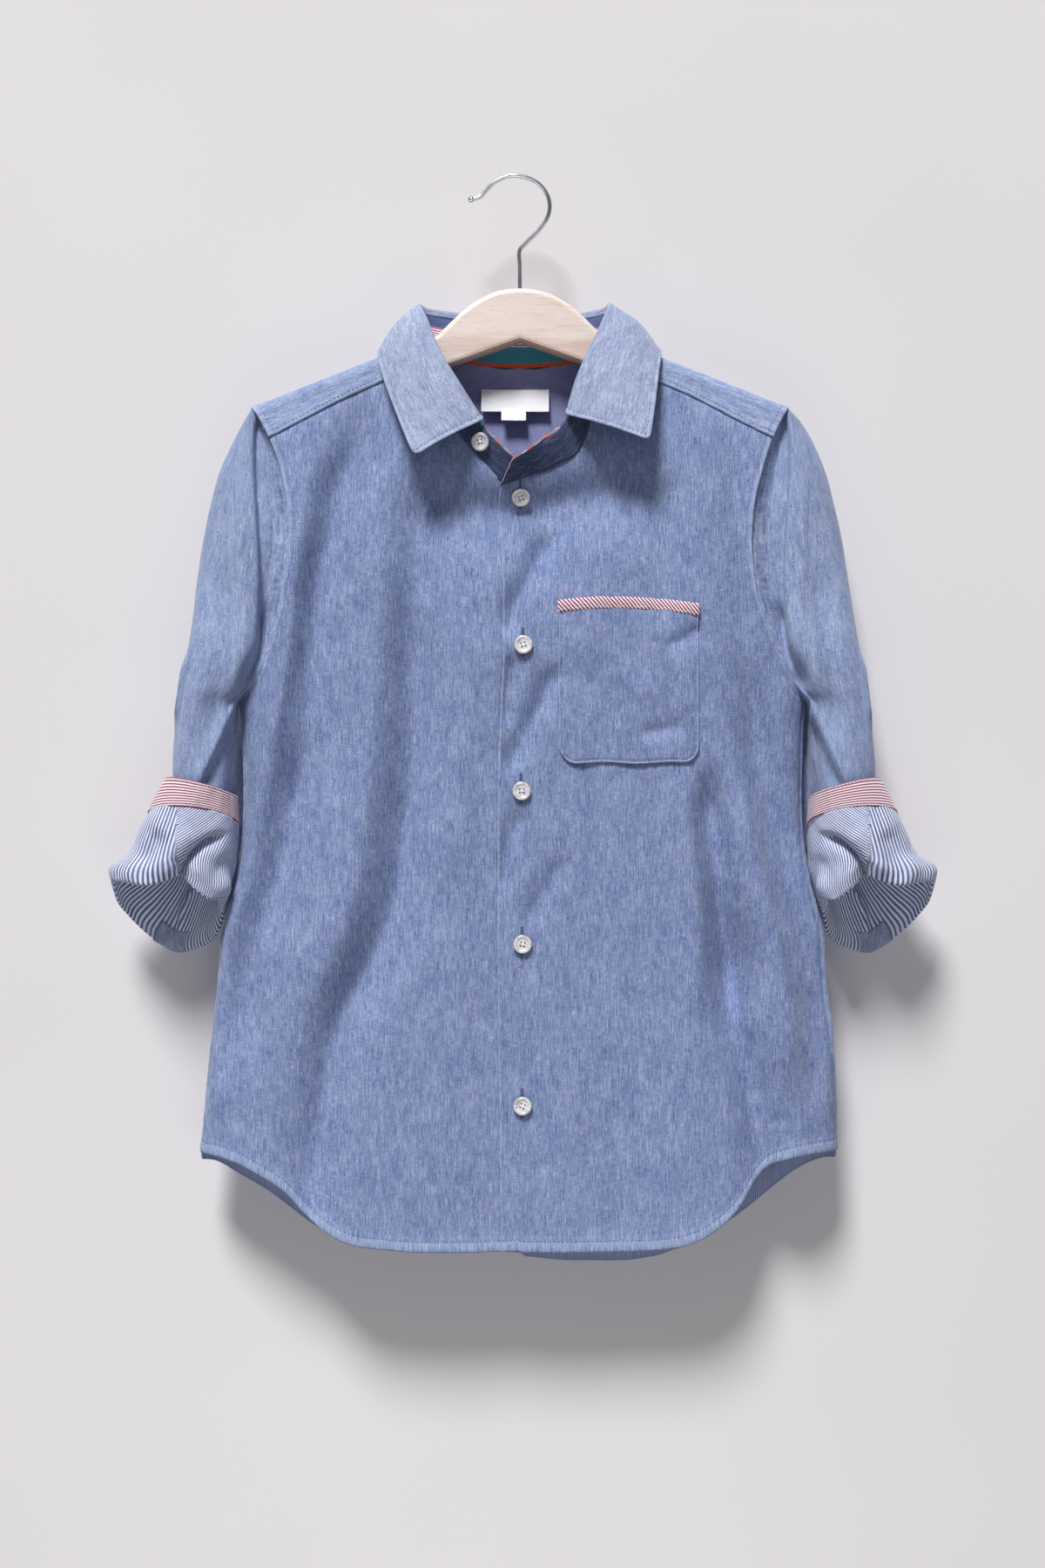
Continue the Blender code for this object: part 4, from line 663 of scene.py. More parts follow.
def front_plan(side):
    """One front as x and down, from its front edge to its armhole and side, and how far it runs under the yoke."""
    neck = neck_points()
    neck_part = neck[: RIGHT_YOKE_POINT + 1] if side < 0 else neck[: LEFT_YOKE_POINT - 1 : -1]
    line = neck_part[:, [0, 2]]
    if side < 0:
        line = np.concatenate([[(UNDERLAP_X, line[0, 1] + 3.0)], line])
    seam_x = np.linspace(line[-1, 0], float(body_edge(side, YOKE_FRONT_DOWN)), 9)[1:]
    line = np.concatenate([line, np.stack([seam_x, yoke_seam(side, seam_x)], axis=1)])
    along = places(SIDE_HEM[side] - YOKE_FRONT_DOWN, TOP_STEPS, HEM_STEPS)
    edge = side_edge(side, YOKE_FRONT_DOWN, SIDE_HEM[side], along)
    across = places(abs(line[-1, 0] - line[0, 0]), FOLD_STEPS, EDGE_STEPS)
    top_x = line[0, 0] + across * (line[-1, 0] - line[0, 0])
    top = points(top_x, 0.0, smooth(side * top_x, side * line[:, 0], line[:, 1]))
    start_down = top[0, 2] + along * (float(hem_down(top[0, 0], FRONT)) - top[0, 2])
    if side < 0:
        start_x = np.full(len(along), UNDERLAP_X)
    else:
        data = table(PLACKET_EDGE)
        start_x = smooth(start_down, data[:, 0], data[:, 1])
    start = points(start_x, 0.0, start_down)
    bottom_x = start[-1, 0] + across * (edge[-1, 0] - start[-1, 0])
    bottom = points(bottom_x, 0.0, hem_down(bottom_x, FRONT))
    bottom[-1] = edge[-1]
    plan = patch(top, bottom, start, edge, across, along)
    under = step_up(np.abs(top_x), abs(neck_part[-1, 0]), abs(neck_part[-1, 0]) + 5)
    return plan, under


def lapped(grid, under, normals):
    """Runs a panel's top edge on under the yoke, where under is 1."""
    from_top = from_edge(grid, "top")
    share = (1 - step_up(from_top, 0, 3.0)) * under[None]
    grid = grid - share[..., None] * normals
    grid[..., 2] -= UNDER_YOKE * (1 - step_up(from_top, 0, 2.4)) * under[None]
    return grid


def panel_edges(x, down, at_side, at_hem, seed):
    """Where a panel has its armhole, and the relief and wear of its stitched armhole and hem."""
    armhole = 1 - step_up(down, UNDERARM_DOWN - 12, UNDERARM_DOWN + 2)
    relief = armhole * stitched(at_side, ARMHOLE_STITCH, down, seed[0])
    relief += stitched(at_hem, HEM_STITCH, x, seed[1], 0.5)
    wear = np.maximum(armhole * bump(at_side, 1.4, 1.2), 0.9 * (1 - step_up(at_hem, 6.4, 7.6)))
    return armhole, relief, wear


def front_grid(side):
    """A front's cloth, its wear, and each point's distance from its side and from its hem."""
    plan, under = front_plan(side)
    x, down = plan[..., 0], plan[..., 2]
    flat = points(x, body_y(x, down, FRONT) - side * overlap_rise(x), down)
    normals = facing(flat, FORWARDS)
    grid = lapped(flat, under, normals)
    at_side, at_hem, at_fold = (from_edge(flat, edge) for edge in ("last", "bottom", "first"))
    armhole, relief, wear = panel_edges(x, down, at_side, at_hem, (3 + side, 5 + side))
    ridge = 0.9 * bump(at_side, SIDE_RIDGE, 1.0) - 1.2 * bump(at_side, SIDE_RIDGE + 2.2, 1.3)
    relief += (1 - armhole) * (ridge + 0.12 * pucker(down, 7 + side) * bump(at_side, SIDE_RIDGE, 5))
    relief += (0.55 if side > 0 else 0.0) * (1 - step_up(at_fold, 0.6, 4.5)) - 0.45 * bump(at_fold, 0, 0.5)
    relief += 0.10 * pucker(down * 0.6, 9 + side) * (1 - step_up(at_fold, 2, 16))
    wear = np.maximum(wear, 0.8 * bump(at_fold, 0.3, 0.7))
    wear = np.maximum(wear, (1 - armhole) * 0.7 * bump(at_side, SIDE_RIDGE, 1.2))
    return raised(grid, relief, normals), wear, at_side, at_hem


def back_grid():
    """The back's cloth, its wear, and each point's distance from its sides and from its hem."""
    hem = {-1: SIDE_HEM[-1] + 3, 1: SIDE_HEM[1] + 4}
    along = places(hem[1] - YOKE_BACK_DOWN, TOP_STEPS, HEM_STEPS)
    right, left = (side_edge(side, YOKE_BACK_DOWN, hem[side], along) for side, _ in SIDES)
    across = places(left[0, 0] - right[0, 0], EDGE_STEPS, EDGE_STEPS)
    share = 2 * across - 1
    top_x = np.where(share < 0, -share * right[0, 0], share * left[0, 0])
    top = points(top_x, 0.0, YOKE_BACK_DOWN)
    bottom_x = np.where(share < 0, -share * right[-1, 0], share * left[-1, 0])
    bottom = points(bottom_x, 0.0, hem_down(bottom_x, BACK))
    bottom[0], bottom[-1] = right[-1], left[-1]
    plan = patch(top, bottom, right, left, across, along)
    x, down = plan[..., 0], plan[..., 2]
    flat = points(x, body_y(x, down, BACK), down)
    normals = facing(flat, BACKWARDS)
    grid = lapped(flat, np.ones(len(top_x)), normals)
    at_side = by_ends(flat)
    at_hem = from_edge(flat, "bottom")
    armhole, relief, wear = panel_edges(x, down, at_side, at_hem, (21, 22))
    relief += (1 - armhole) * -0.4 * bump(at_side, 0, 1.2)
    return raised(grid, relief, normals), wear, at_side, at_hem


def yoke_outer():
    """The yoke's outer edge as x and distance from the ridge, and the corners' places in it."""
    parts = []
    for side, _ in SIDES:
        front = np.linspace(YOKE_FRONT_DOWN, YOKE_TOP_DOWN, 22)
        back = np.linspace(YOKE_TOP_DOWN, YOKE_BACK_DOWN, 30)[1:]
        down = np.concatenate([front, back])
        x = side * by_side(ARMHOLE, down, side)
        face = np.where(np.arange(len(down)) < len(front), FRONT, BACK)
        length = np.where(face < 0, ridge_length(x, down, FRONT), ridge_length(x, down, BACK))
        edge = np.stack([x, length], axis=1)
        parts.append(edge if side < 0 else edge[::-1])
    right, left = parts
    seam_x = np.linspace(right[-1, 0], left[0, 0], 112)[1:-1]
    seam = np.stack([seam_x, ridge_length(seam_x, YOKE_BACK_DOWN, BACK)], axis=1)
    return np.concatenate([right, seam, left]), len(right)


def yoke_inner(count, side_count):
    """The neck edge as x and distance from the ridge, one place for each point of the outer edge."""
    found = []
    for number in range(RIGHT_YOKE_POINT, LEFT_YOKE_POINT + 1):
        _, x, down = NECK_SEAM[number]
        face = BACK if RIGHT_RIDGE_POINT < number < LEFT_RIDGE_POINT else FRONT
        if number in (RIGHT_RIDGE_POINT, LEFT_RIDGE_POINT):
            down = ridge_down(x)
        found.append((x, float(ridge_length(x, down, face))))
    line = table(found)
    centre = (len(line) - 1) / 2
    knots = [0, 21, side_count - 1, (count - 1) / 2]
    knots += [count - 1 - knot for knot in reversed(knots[:-1])]
    values = [0, RIGHT_RIDGE_POINT - RIGHT_YOKE_POINT, 4.6, centre]
    values += [2 * centre - value for value in reversed(values[:-1])]
    at = np.interp(np.arange(count), knots, values)
    return through(line, at)


def yoke_grid():
    """The yoke's cloth from the neck outwards, its wear, its flat form, and distances from its seams."""
    outer, side_count = yoke_outer()
    inner = yoke_inner(len(outer), side_count)
    rows = places(95.0, TOP_STEPS, EDGE_STEPS)
    flat = inner[None] * (1 - rows[:, None, None]) + outer[None] * rows[:, None, None]
    for column, side in ((0, -1), (-1, 1)):
        x = flat[:, column, 0]
        off = ridge_length(x, yoke_seam(side, x), FRONT) - flat[:, column, 1]
        steps = np.linalg.norm(np.diff(flat, axis=1), axis=2)
        run = np.concatenate([np.zeros((len(rows), 1)), np.cumsum(steps, axis=1)], axis=1)
        if column:
            run = run[:, -1:] - run
        flat[..., 1] += off[:, None] * (1 - step_up(run, 0, 26))
    grid = over_ridge(flat[..., 0], flat[..., 1])
    normals = facing(grid, off_ridge(grid))
    at_armhole = from_edge(grid, "bottom")
    at_front = by_ends(grid)
    at_back = np.where(flat[..., 1] > 0, YOKE_BACK_DOWN - grid[..., 2], 99.0)
    on_sleeve = np.zeros(grid.shape[:2])
    on_sleeve[:, :side_count] = 1
    on_sleeve[:, -side_count:] = 1
    at_seam = np.minimum(at_front, at_back)
    relief = 0.45 + stitched(at_seam, YOKE_STITCH, grid[..., 0], 31, 0.35)
    relief += on_sleeve * stitched(at_armhole, ARMHOLE_STITCH, flat[..., 1], 33)
    wear = np.maximum(bump(at_seam, 1.0, 1.3), on_sleeve * bump(at_armhole, 1.4, 1.2))
    return raised(grid, relief, normals), wear, flat, at_armhole, at_front, at_back, side_count


def armhole_point(side, face, down):
    x = float(side * by_side(ARMHOLE, down, side))
    return np.array([x, float(body_y(x, down, face)), down])


def section(outer_x, outer_down, inner_x, inner_down, middle_y, front, back, rise, drop):
    """A closed section of the sleeve, from its inner side by way of the front, side -1 taken as positive."""
    angle = np.linspace(0, 2 * math.pi, SLEEVE_COLUMNS + 1)
    across = (1 - np.cos(angle)) / 2
    height = np.sign(np.sin(angle)) * np.abs(np.sin(angle)) ** RING_SQUARENESS
    x = inner_x + (outer_x - inner_x) * across
    y = middle_y - np.where(height > 0, front, back) * height
    down = inner_down + (outer_down - inner_down) * across
    down = down - np.where(height > 0, rise, drop) * height
    return points(x, y, down)


def mouth_section(outwards, up):
    """The sleeve's folded rim, moved outwards and up from its lowest line."""
    data = table(MOUTH)
    angle = np.linspace(0, 360, SLEEVE_COLUMNS + 1)
    around = points(*(smooth(angle, data[:, 0], data[:, column]) for column in (1, 2, 3)))
    centre = around[:-1].mean(axis=0)
    return around + outwards * unit(sideways(around - centre)) - (0.0, 0.0, up)


def cap_section(side, down):
    """The sleeve beside the armhole, from the front seam over the outer edge to the back seam."""
    front, back = (armhole_point(side, face, down) for face in (FRONT, BACK))
    outer_x = float(by_side(SLEEVE_EDGE, down, side))
    closing = float(step_up(down, 235.0, UNDERARM_DOWN))
    share = np.linspace(-1, 1, SLEEVE_COLUMNS + 1)
    turn = (1 - np.abs(share)) * math.pi / 2
    across = np.sin(turn) * (1 - closing) + (1 - np.cos(2 * turn)) / 2 * closing
    seam_x = abs(front[0])
    x = seam_x + (outer_x - seam_x) * across
    seam_y = np.where(share < 0, front[1], back[1])
    puff = np.where(share < 0, -SLEEVE_FRONT, SLEEVE_BACK) * closing
    y = seam_y * np.cos(turn) + puff * np.sin(2 * turn) ** RING_SQUARENESS
    return points(x, y, down)


def sleeve_grid(side):
    """The sleeve in positive x: cap, tube, rolled mouth and the turned-up layer, with its rows' lengths."""
    caps = [cap_section(side, down) for down in SEAM_ROWS]
    lower = [section(*sizes) for sizes in SLEEVE_RINGS]
    inner_mouth = mouth_section(-MOUTH_FOLD, MOUTH_RISE)
    lower += [0.5 * (lower[-1] + inner_mouth), inner_mouth]
    lower += [mouth_section(0.0, 0.0), mouth_section(MOUTH_FOLD, MOUTH_RISE)]
    lower += [section(*sizes) for sizes in ROLL_RINGS]
    for ring in lower:
        ring[:, 0] += SLEEVE_SHIFT[side]
    knots = np.stack(caps + lower)
    steps = np.linalg.norm(np.diff(knots, axis=0), axis=-1).mean(axis=1)
    length = running(np.maximum(steps, 0.4))
    counts = np.maximum(np.round(steps / TUBE_CELL), 1).astype(int)
    mouth = len(caps) + len(SLEEVE_RINGS) + 2
    counts[mouth - 3 :] = np.maximum(np.round(steps[mouth - 3 :] / ROLL_CELL), 2)
    counts[mouth - 1 : mouth + 1] = 5
    at = [np.linspace(length[row], length[row + 1], counts[row], endpoint=False) for row in range(len(counts))]
    at = np.concatenate(at + [length[-1:]])
    grid = spline(at, length, knots)
    seamed = at >= length[len(caps) - 1] - 1e-6
    grid[seamed, 0] = grid[seamed, -1] = grid[seamed, 0] * 0.5 + grid[seamed, -1] * 0.5
    return grid, at, length[mouth], int(np.argmax(seamed))


def sleeve_relief(side, grid, rows, mouth_length):
    """Pushes the sleeve's edge under the body and presses in its creases."""
    x, down = grid[..., 0].copy(), grid[..., 2]
    above = (1 - step_up(down, UNDERARM_DOWN - 14, UNDERARM_DOWN + 4)) * step_up(down, SEAM_ROWS[0], 150)
    to_seam = by_ends(grid)
    tucked = (1 - step_up(to_seam, 0, 5.5)) * above
    face_sign = np.where(np.arange(grid.shape[1]) < grid.shape[1] / 2, -1.0, 1.0)[None]
    grid[..., 0] -= UNDER_BODY * tucked
    grid[..., 1] -= 1.25 * tucked * face_sign
    turn = np.linspace(0, 2 * math.pi, grid.shape[1])[None]
    degrees = np.degrees(turn)
    run = rows[:, None]
    spread = np.exp(-(((run - rows) / 26.0) ** 2)) * (rows < mouth_length)
    level = spread @ grid[..., 1] / spread.sum(axis=1, keepdims=True)
    armpit = step_up(down, 190, 250) * (1 - step_up(down, 350, 384)) * step_up(to_seam, 1, 14)
    armpit *= run < mouth_length - 20
    grid[..., 1] += (level - grid[..., 1]) * armpit
    boxed = step_up(down, 282, 300) * (1 - step_up(down, 322, 340)) * (face_sign < 0)
    ahead = np.minimum(grid[..., 1], -ARMPIT_FRONT * step_up(to_seam, 0.5, 4.5))
    grid[..., 1] += (ahead - grid[..., 1]) * boxed
    body_side = by_side(HALF_WIDTH, down, side) + 1.3
    beside = step_up(down, 314, 326) * (1 - step_up(run, mouth_length - 50, mouth_length - 30))
    beside = beside * bump(degrees, 326, 22)
    grid[..., 0] += np.minimum(body_side - grid[..., 0], 0) * beside
    grid[..., 1] += 8.0 * beside
    inward = unit(-off_middle(grid) * PUSH_SHARES)
    front = step_up(np.sin(turn), 0.01, 0.2)
    back = step_up(-np.sin(turn), 0.02, 0.45)
    from_mouth = run - mouth_length
    tube = 1 - step_up(from_mouth, -26, -8)
    push = np.zeros(x.shape)
    for crease_side, face, *shape in SLEEVE_CREASES:
        if crease_side == side:
            push += crease(x, down, *shape) * (front if face == FRONT else back) * tube
    on_cuff = step_up(down, 384, 396)
    for shape in CUFF_CREASES:
        push += crease(x - SLEEVE_SHIFT[side], down, *shape) * front * on_cuff
        push += 0.55 * crease(x - SLEEVE_SHIFT[side] - 6, down - 26, *shape) * back * on_cuff
    around = turn / (2 * math.pi) * SLEEVE_AROUND
    calm = step_up(to_seam, 2, 20) * step_up(down, 150, 190)
    push += 0.55 * ripples(around, run, 40 + side, 60.0) * np.where(run < mouth_length, calm, 1.0)
    push += 0.35 * ripples(around, run * 3.1, 50 + side, 26.0) * step_up(run, mouth_length - 60, mouth_length)
    seam_ridge = bump(degrees, 262, 2.2) * step_up(from_mouth, -70, -40) * (1 - step_up(from_mouth, -3, 0))
    push += 0.9 * seam_ridge
    return raised(grid, push, inward)


def pleat_stripes(side, grid, rows, mouth_length):
    """How far the stripes of the turned-up layer lean: in a fan, and more on the flap under its pleat."""
    degrees = np.linspace(0, 360, grid.shape[1])[None]
    x, down = grid[..., 0] - SLEEVE_SHIFT[side], grid[..., 2]
    roll = (rows > mouth_length + 1.2).astype(float)[:, None]
    below_band = np.maximum(down - 390, 0)
    fan = -FAN_LEAN * (1 - step_up(degrees, 25, 96)) * below_band
    _, off = along_path(x, down, catmull(PLEAT, 48))
    flap = (off < 0) & (degrees < 110) & (x < 206)
    flap_lean = -(PLEAT_LEAN * (down - 400) + FAN_LEAN * 10)
    return roll * np.where(flap, flap_lean, fan)


def ordered(values, side):
    """The columns of a grid made for the right side, in the order of its own side."""
    return values if side < 0 else values[:, ::-1]


def turned(grid, side):
    """Turns a grid made in positive x to its own side."""
    return ordered(grid * (side, 1.0, 1.0), side)


def band_rings(side):
    """The striped band round a turned-up sleeve's end, and how far up it each row lies."""
    rings = np.stack([section(*sizes) + (SLEEVE_SHIFT[side], 0, 0) for sizes in BAND_RINGS])
    at = np.concatenate([[-1.6, -0.8], np.linspace(0, BAND_LENGTH, 22), [23.1, 23.3]])
    grid = spline(np.clip(at, 0, BAND_LENGTH), table((0, 12, BAND_LENGTH)), rings)
    grid[..., 2] += np.maximum(-at, 0)[:, None]
    outward = unit(sideways(off_middle(grid)))
    around = np.linspace(0, SLEEVE_AROUND, grid.shape[1])[None]
    lift = 1.1 - 0.9 * bump(at, -1.6, 0.7) - 0.5 * bump(at, 23.3, 0.6) - 0.25 * bump(at, 20.4, 0.8)
    wave = 0.35 * ripples(around, at[:, None], 60 + side, 44.0) + 0.12 * pucker(around, 61 + side)
    return raised(grid, lift[:, None] + wave, outward), at


# ---- collar -------------------------------------------------------------------------------------


def band_sheet(distance, columns=170):
    """The collar band's sheet, moved out from its mid line. Its ends stand apart where they overlap."""
    lower = neck_points()
    spread = table(TIP_SPREAD)
    lower[: len(spread), 1] += spread
    lower[-len(spread) :, 1] -= spread[::-1]
    lower, upper = catmull(lower, columns), catmull(BAND_TOP, columns)
    share = np.linspace(BAND_START, 1.0, BAND_ROWS)[:, None, None]
    grid = lower[None] * (1 - share) + upper[None] * share
    normals = facing(grid, off_neck(grid))
    pinch = 1 - 0.75 * step_up(share[..., 0], 0.86, 1.0)
    return raised(grid, distance * pinch, normals), normals


def leaf_sheet():
    """The collar leaf, from the top of its band over the fold to its outer edge."""
    columns = places(330.0, EDGE_STEPS, EDGE_STEPS, 2.2)
    data = through(LEAF, columns * (len(LEAF) - 1))
    fold, edge = data[:, :3], data[:, 3:]
    along = places(40.0, (0.0, 1.0, 2.0, 3.4), EDGE_STEPS, 1.9)
    rows = along[:, None, None]
    straight = fold[None] * (1 - rows) + edge[None] * rows
    normals = facing(straight, off_neck(straight))
    leaf = straight + (LEAF_BULGE * np.sin(math.pi * along))[:, None, None] * normals
    band = catmull(BAND_TOP[3:24], 400)
    nearest = np.argmin(np.linalg.norm(fold[:, None] - band[None], axis=2), axis=1)
    share = np.interp(np.arange(len(fold)), [0, len(fold) - 1], [0, 399])
    base = band[np.clip((0.5 * nearest + 0.5 * share).astype(int), 0, 399)]
    over = 0.5 * (base + fold) - (0.0, 0.0, 1.9)
    bridge = np.stack([base + (0.0, 0.0, 1.6), over, leaf[0], leaf[1]])
    lead = spline(np.linspace(0, 5.0, 7)[:-1], table((0, 2.6, 5, 7.2)), bridge)
    return rounded(np.concatenate([lead, leaf])), len(lead)


def rounded(grid):
    """The leaf's two points, rounded within its own sheet."""
    low = from_edge(grid, "bottom")
    up = np.gradient(grid, axis=0) * -1
    along = np.gradient(grid, axis=1)
    result = grid.copy()
    for edge, sign in (("first", 1), ("last", -1)):
        end = from_edge(grid, edge)
        u, v = (np.clip(1 - part / LEAF_CORNER, 0, 1) for part in (low, end))
        shrink = 1 - np.maximum(u, v) / np.maximum(np.hypot(u, v), 1e-6)
        for share, way in ((u, up), (v, sign * along)):
            result += (LEAF_CORNER * share * shrink * (u > 0) * (v > 0))[..., None] * unit(way)
    return result


def leaf_grid():
    """The collar leaf with its relief, its wear, and distances from its outer edge and its ends."""
    grid, lead = leaf_sheet()
    normals = facing(grid, off_neck(grid))
    at_edge = from_edge(grid, "bottom")
    at_end = by_ends(grid)
    near = np.minimum(at_edge, at_end)
    run = from_edge(grid, "first")
    relief = 0.5 + 0.5 * (1 - step_up(near, 2.2, 4.6)) - 0.5 * bump(near, 0, 0.5)
    relief -= 0.7 * bump(near, LEAF_STITCH, 0.8)
    relief += 0.13 * pucker(run, 71) * (1 - step_up(near, 2, 9)) + 0.3 * ripples(run, at_edge, 72, 60.0)
    on_leaf = (np.arange(len(grid)) >= lead - 3).astype(float)[:, None]
    wear = np.maximum(bump(near, 0.8, 1.0), 0.8 * bump(from_edge(grid, "top"), 4.5, 2.4)) * on_leaf
    return raised(grid, relief * on_leaf, normals), wear, at_edge, at_end


# ---- what lies on the panels --------------------------------------------------------------------


def on_left_front(x, down, distance):
    return points(x, body_y(x, down, FRONT) - overlap_rise(x) - distance, down)


def pocket_grid():
    """The pocket from its mouth under the binding to its round lower corners."""
    height = POCKET_BOTTOM - POCKET_TOP + 5
    along = places(height, (0.0, 1.5, 3.0), EDGE_STEPS, 2.2)
    across = places(POCKET_RIGHT - POCKET_LEFT, EDGE_STEPS, EDGE_STEPS, 2.2)
    down = POCKET_TOP - 5 + along * height
    into = np.clip((down - (POCKET_BOTTOM - POCKET_CORNER)) / POCKET_CORNER, 0, 1)
    inset = POCKET_CORNER * (1 - np.sqrt(1 - into**2))
    share = 2 * across[None] - 1
    x = POCKET_MIDDLE + (POCKET_HALF - inset)[:, None] * share
    tilt = POCKET_SKEW * 0.5 * share - BINDING_ARCH * (1 - share**2)
    fade = np.clip((POCKET_BOTTOM - down[:, None]) / (POCKET_BOTTOM - POCKET_TOP), 0, 1)
    down = down[:, None] + tilt * fade
    wavy = 0.55 * np.sin(2 * math.pi * (x - POCKET_LEFT) / 41 + 0.6) * (1 - fade)
    down = down + wavy
    flat = on_left_front(x, down, 0.0)
    side = np.minimum(x - POCKET_LEFT, POCKET_RIGHT - x)
    bottom = POCKET_BOTTOM + wavy - down
    corner_x, corner_down = (np.maximum(POCKET_CORNER - part, 0) for part in (side, bottom))
    rounded_in = POCKET_CORNER - np.hypot(corner_x, corner_down)
    near = np.where((corner_x > 0) & (corner_down > 0), rounded_in, np.minimum(side, bottom))
    near = np.maximum(near, 0)
    run = np.where(bottom < side, x, down)
    normals = facing(flat, FORWARDS)
    lift = 1.6 - 0.8 * bump(near, 0, 0.4) - 0.7 * bump(near, POCKET_STITCH, 0.6)
    lift += 0.75 * bump(near, 0.7, 0.6) + 0.22 * pucker(run, 81) * (1 - step_up(near, 2, 9))
    lift += 0.5 * np.sin(math.pi * np.clip(near / 40, 0, 0.5)) + 0.25 * ripples(x, down, 82, 40.0)
    wear = 0.9 * bump(near, 0.6, 0.7)
    return raised(flat, lift, normals), wear, near


def binding_grid():
    """The binding over the pocket's mouth, a small roll that runs past the pocket's sides."""
    across = places(POCKET_RIGHT - POCKET_LEFT + 2 * BINDING_OVERHANG, BINDING_STEPS, BINDING_STEPS, 1.8)
    share = 2 * across - 1
    x = POCKET_MIDDLE + (POCKET_HALF + BINDING_OVERHANG) * share
    lower = POCKET_TOP + POCKET_SKEW * 0.5 * share - BINDING_ARCH * (1 - share**2)
    upwards = table((-0.1, 0.25, 0.7, 1.5, 2.6, 3.8, 5.0, 6.1, 6.9, 7.4, 7.6))
    lower = lower + 0.22 * pucker(x, 91)
    down = lower[None] - upwards[:, None]
    x = np.broadcast_to(x, down.shape)
    flat = on_left_front(x, down, 0.0)
    normals = facing(flat, FORWARDS)
    full = np.sqrt(np.clip(1 - ((upwards - 3.75) / 3.95) ** 4, 0, 1))[:, None]
    at_end = by_ends(flat)
    lift = 1.0 + (1.9 * full - 0.3 * bump(upwards, 1.5, 0.6)[:, None]) * (0.45 + 0.55 * step_up(at_end, 0, 1.2))
    lift = lift + 0.12 * pucker(x * 1.3, 92)
    return raised(flat, lift, normals), upwards


def label_grid(box, rows, columns, lift):
    """A flat label inside the back's neck, lifted off the sheet by a function of x and the share of its height."""
    left, top, right, bottom = box
    share = np.linspace(0, 1, rows)[:, None]
    x = np.broadcast_to(np.linspace(left, right, columns), (rows, columns))
    down = np.broadcast_to(top + (bottom - top) * share, (rows, columns))
    return points(x, body_y(x, down, BACK) - lift(x, share), down)


# ---- materials ----------------------------------------------------------------------------------


def linear(colour):
    """A colour given as 0 to 255 in sRGB, as linear light."""
    part = np.array(colour[:3], dtype=float) / 255
    part = np.where(part <= 0.04045, part / 12.92, ((part + 0.055) / 1.055) ** 2.4)
    return (*(float(value) for value in part), 1.0)


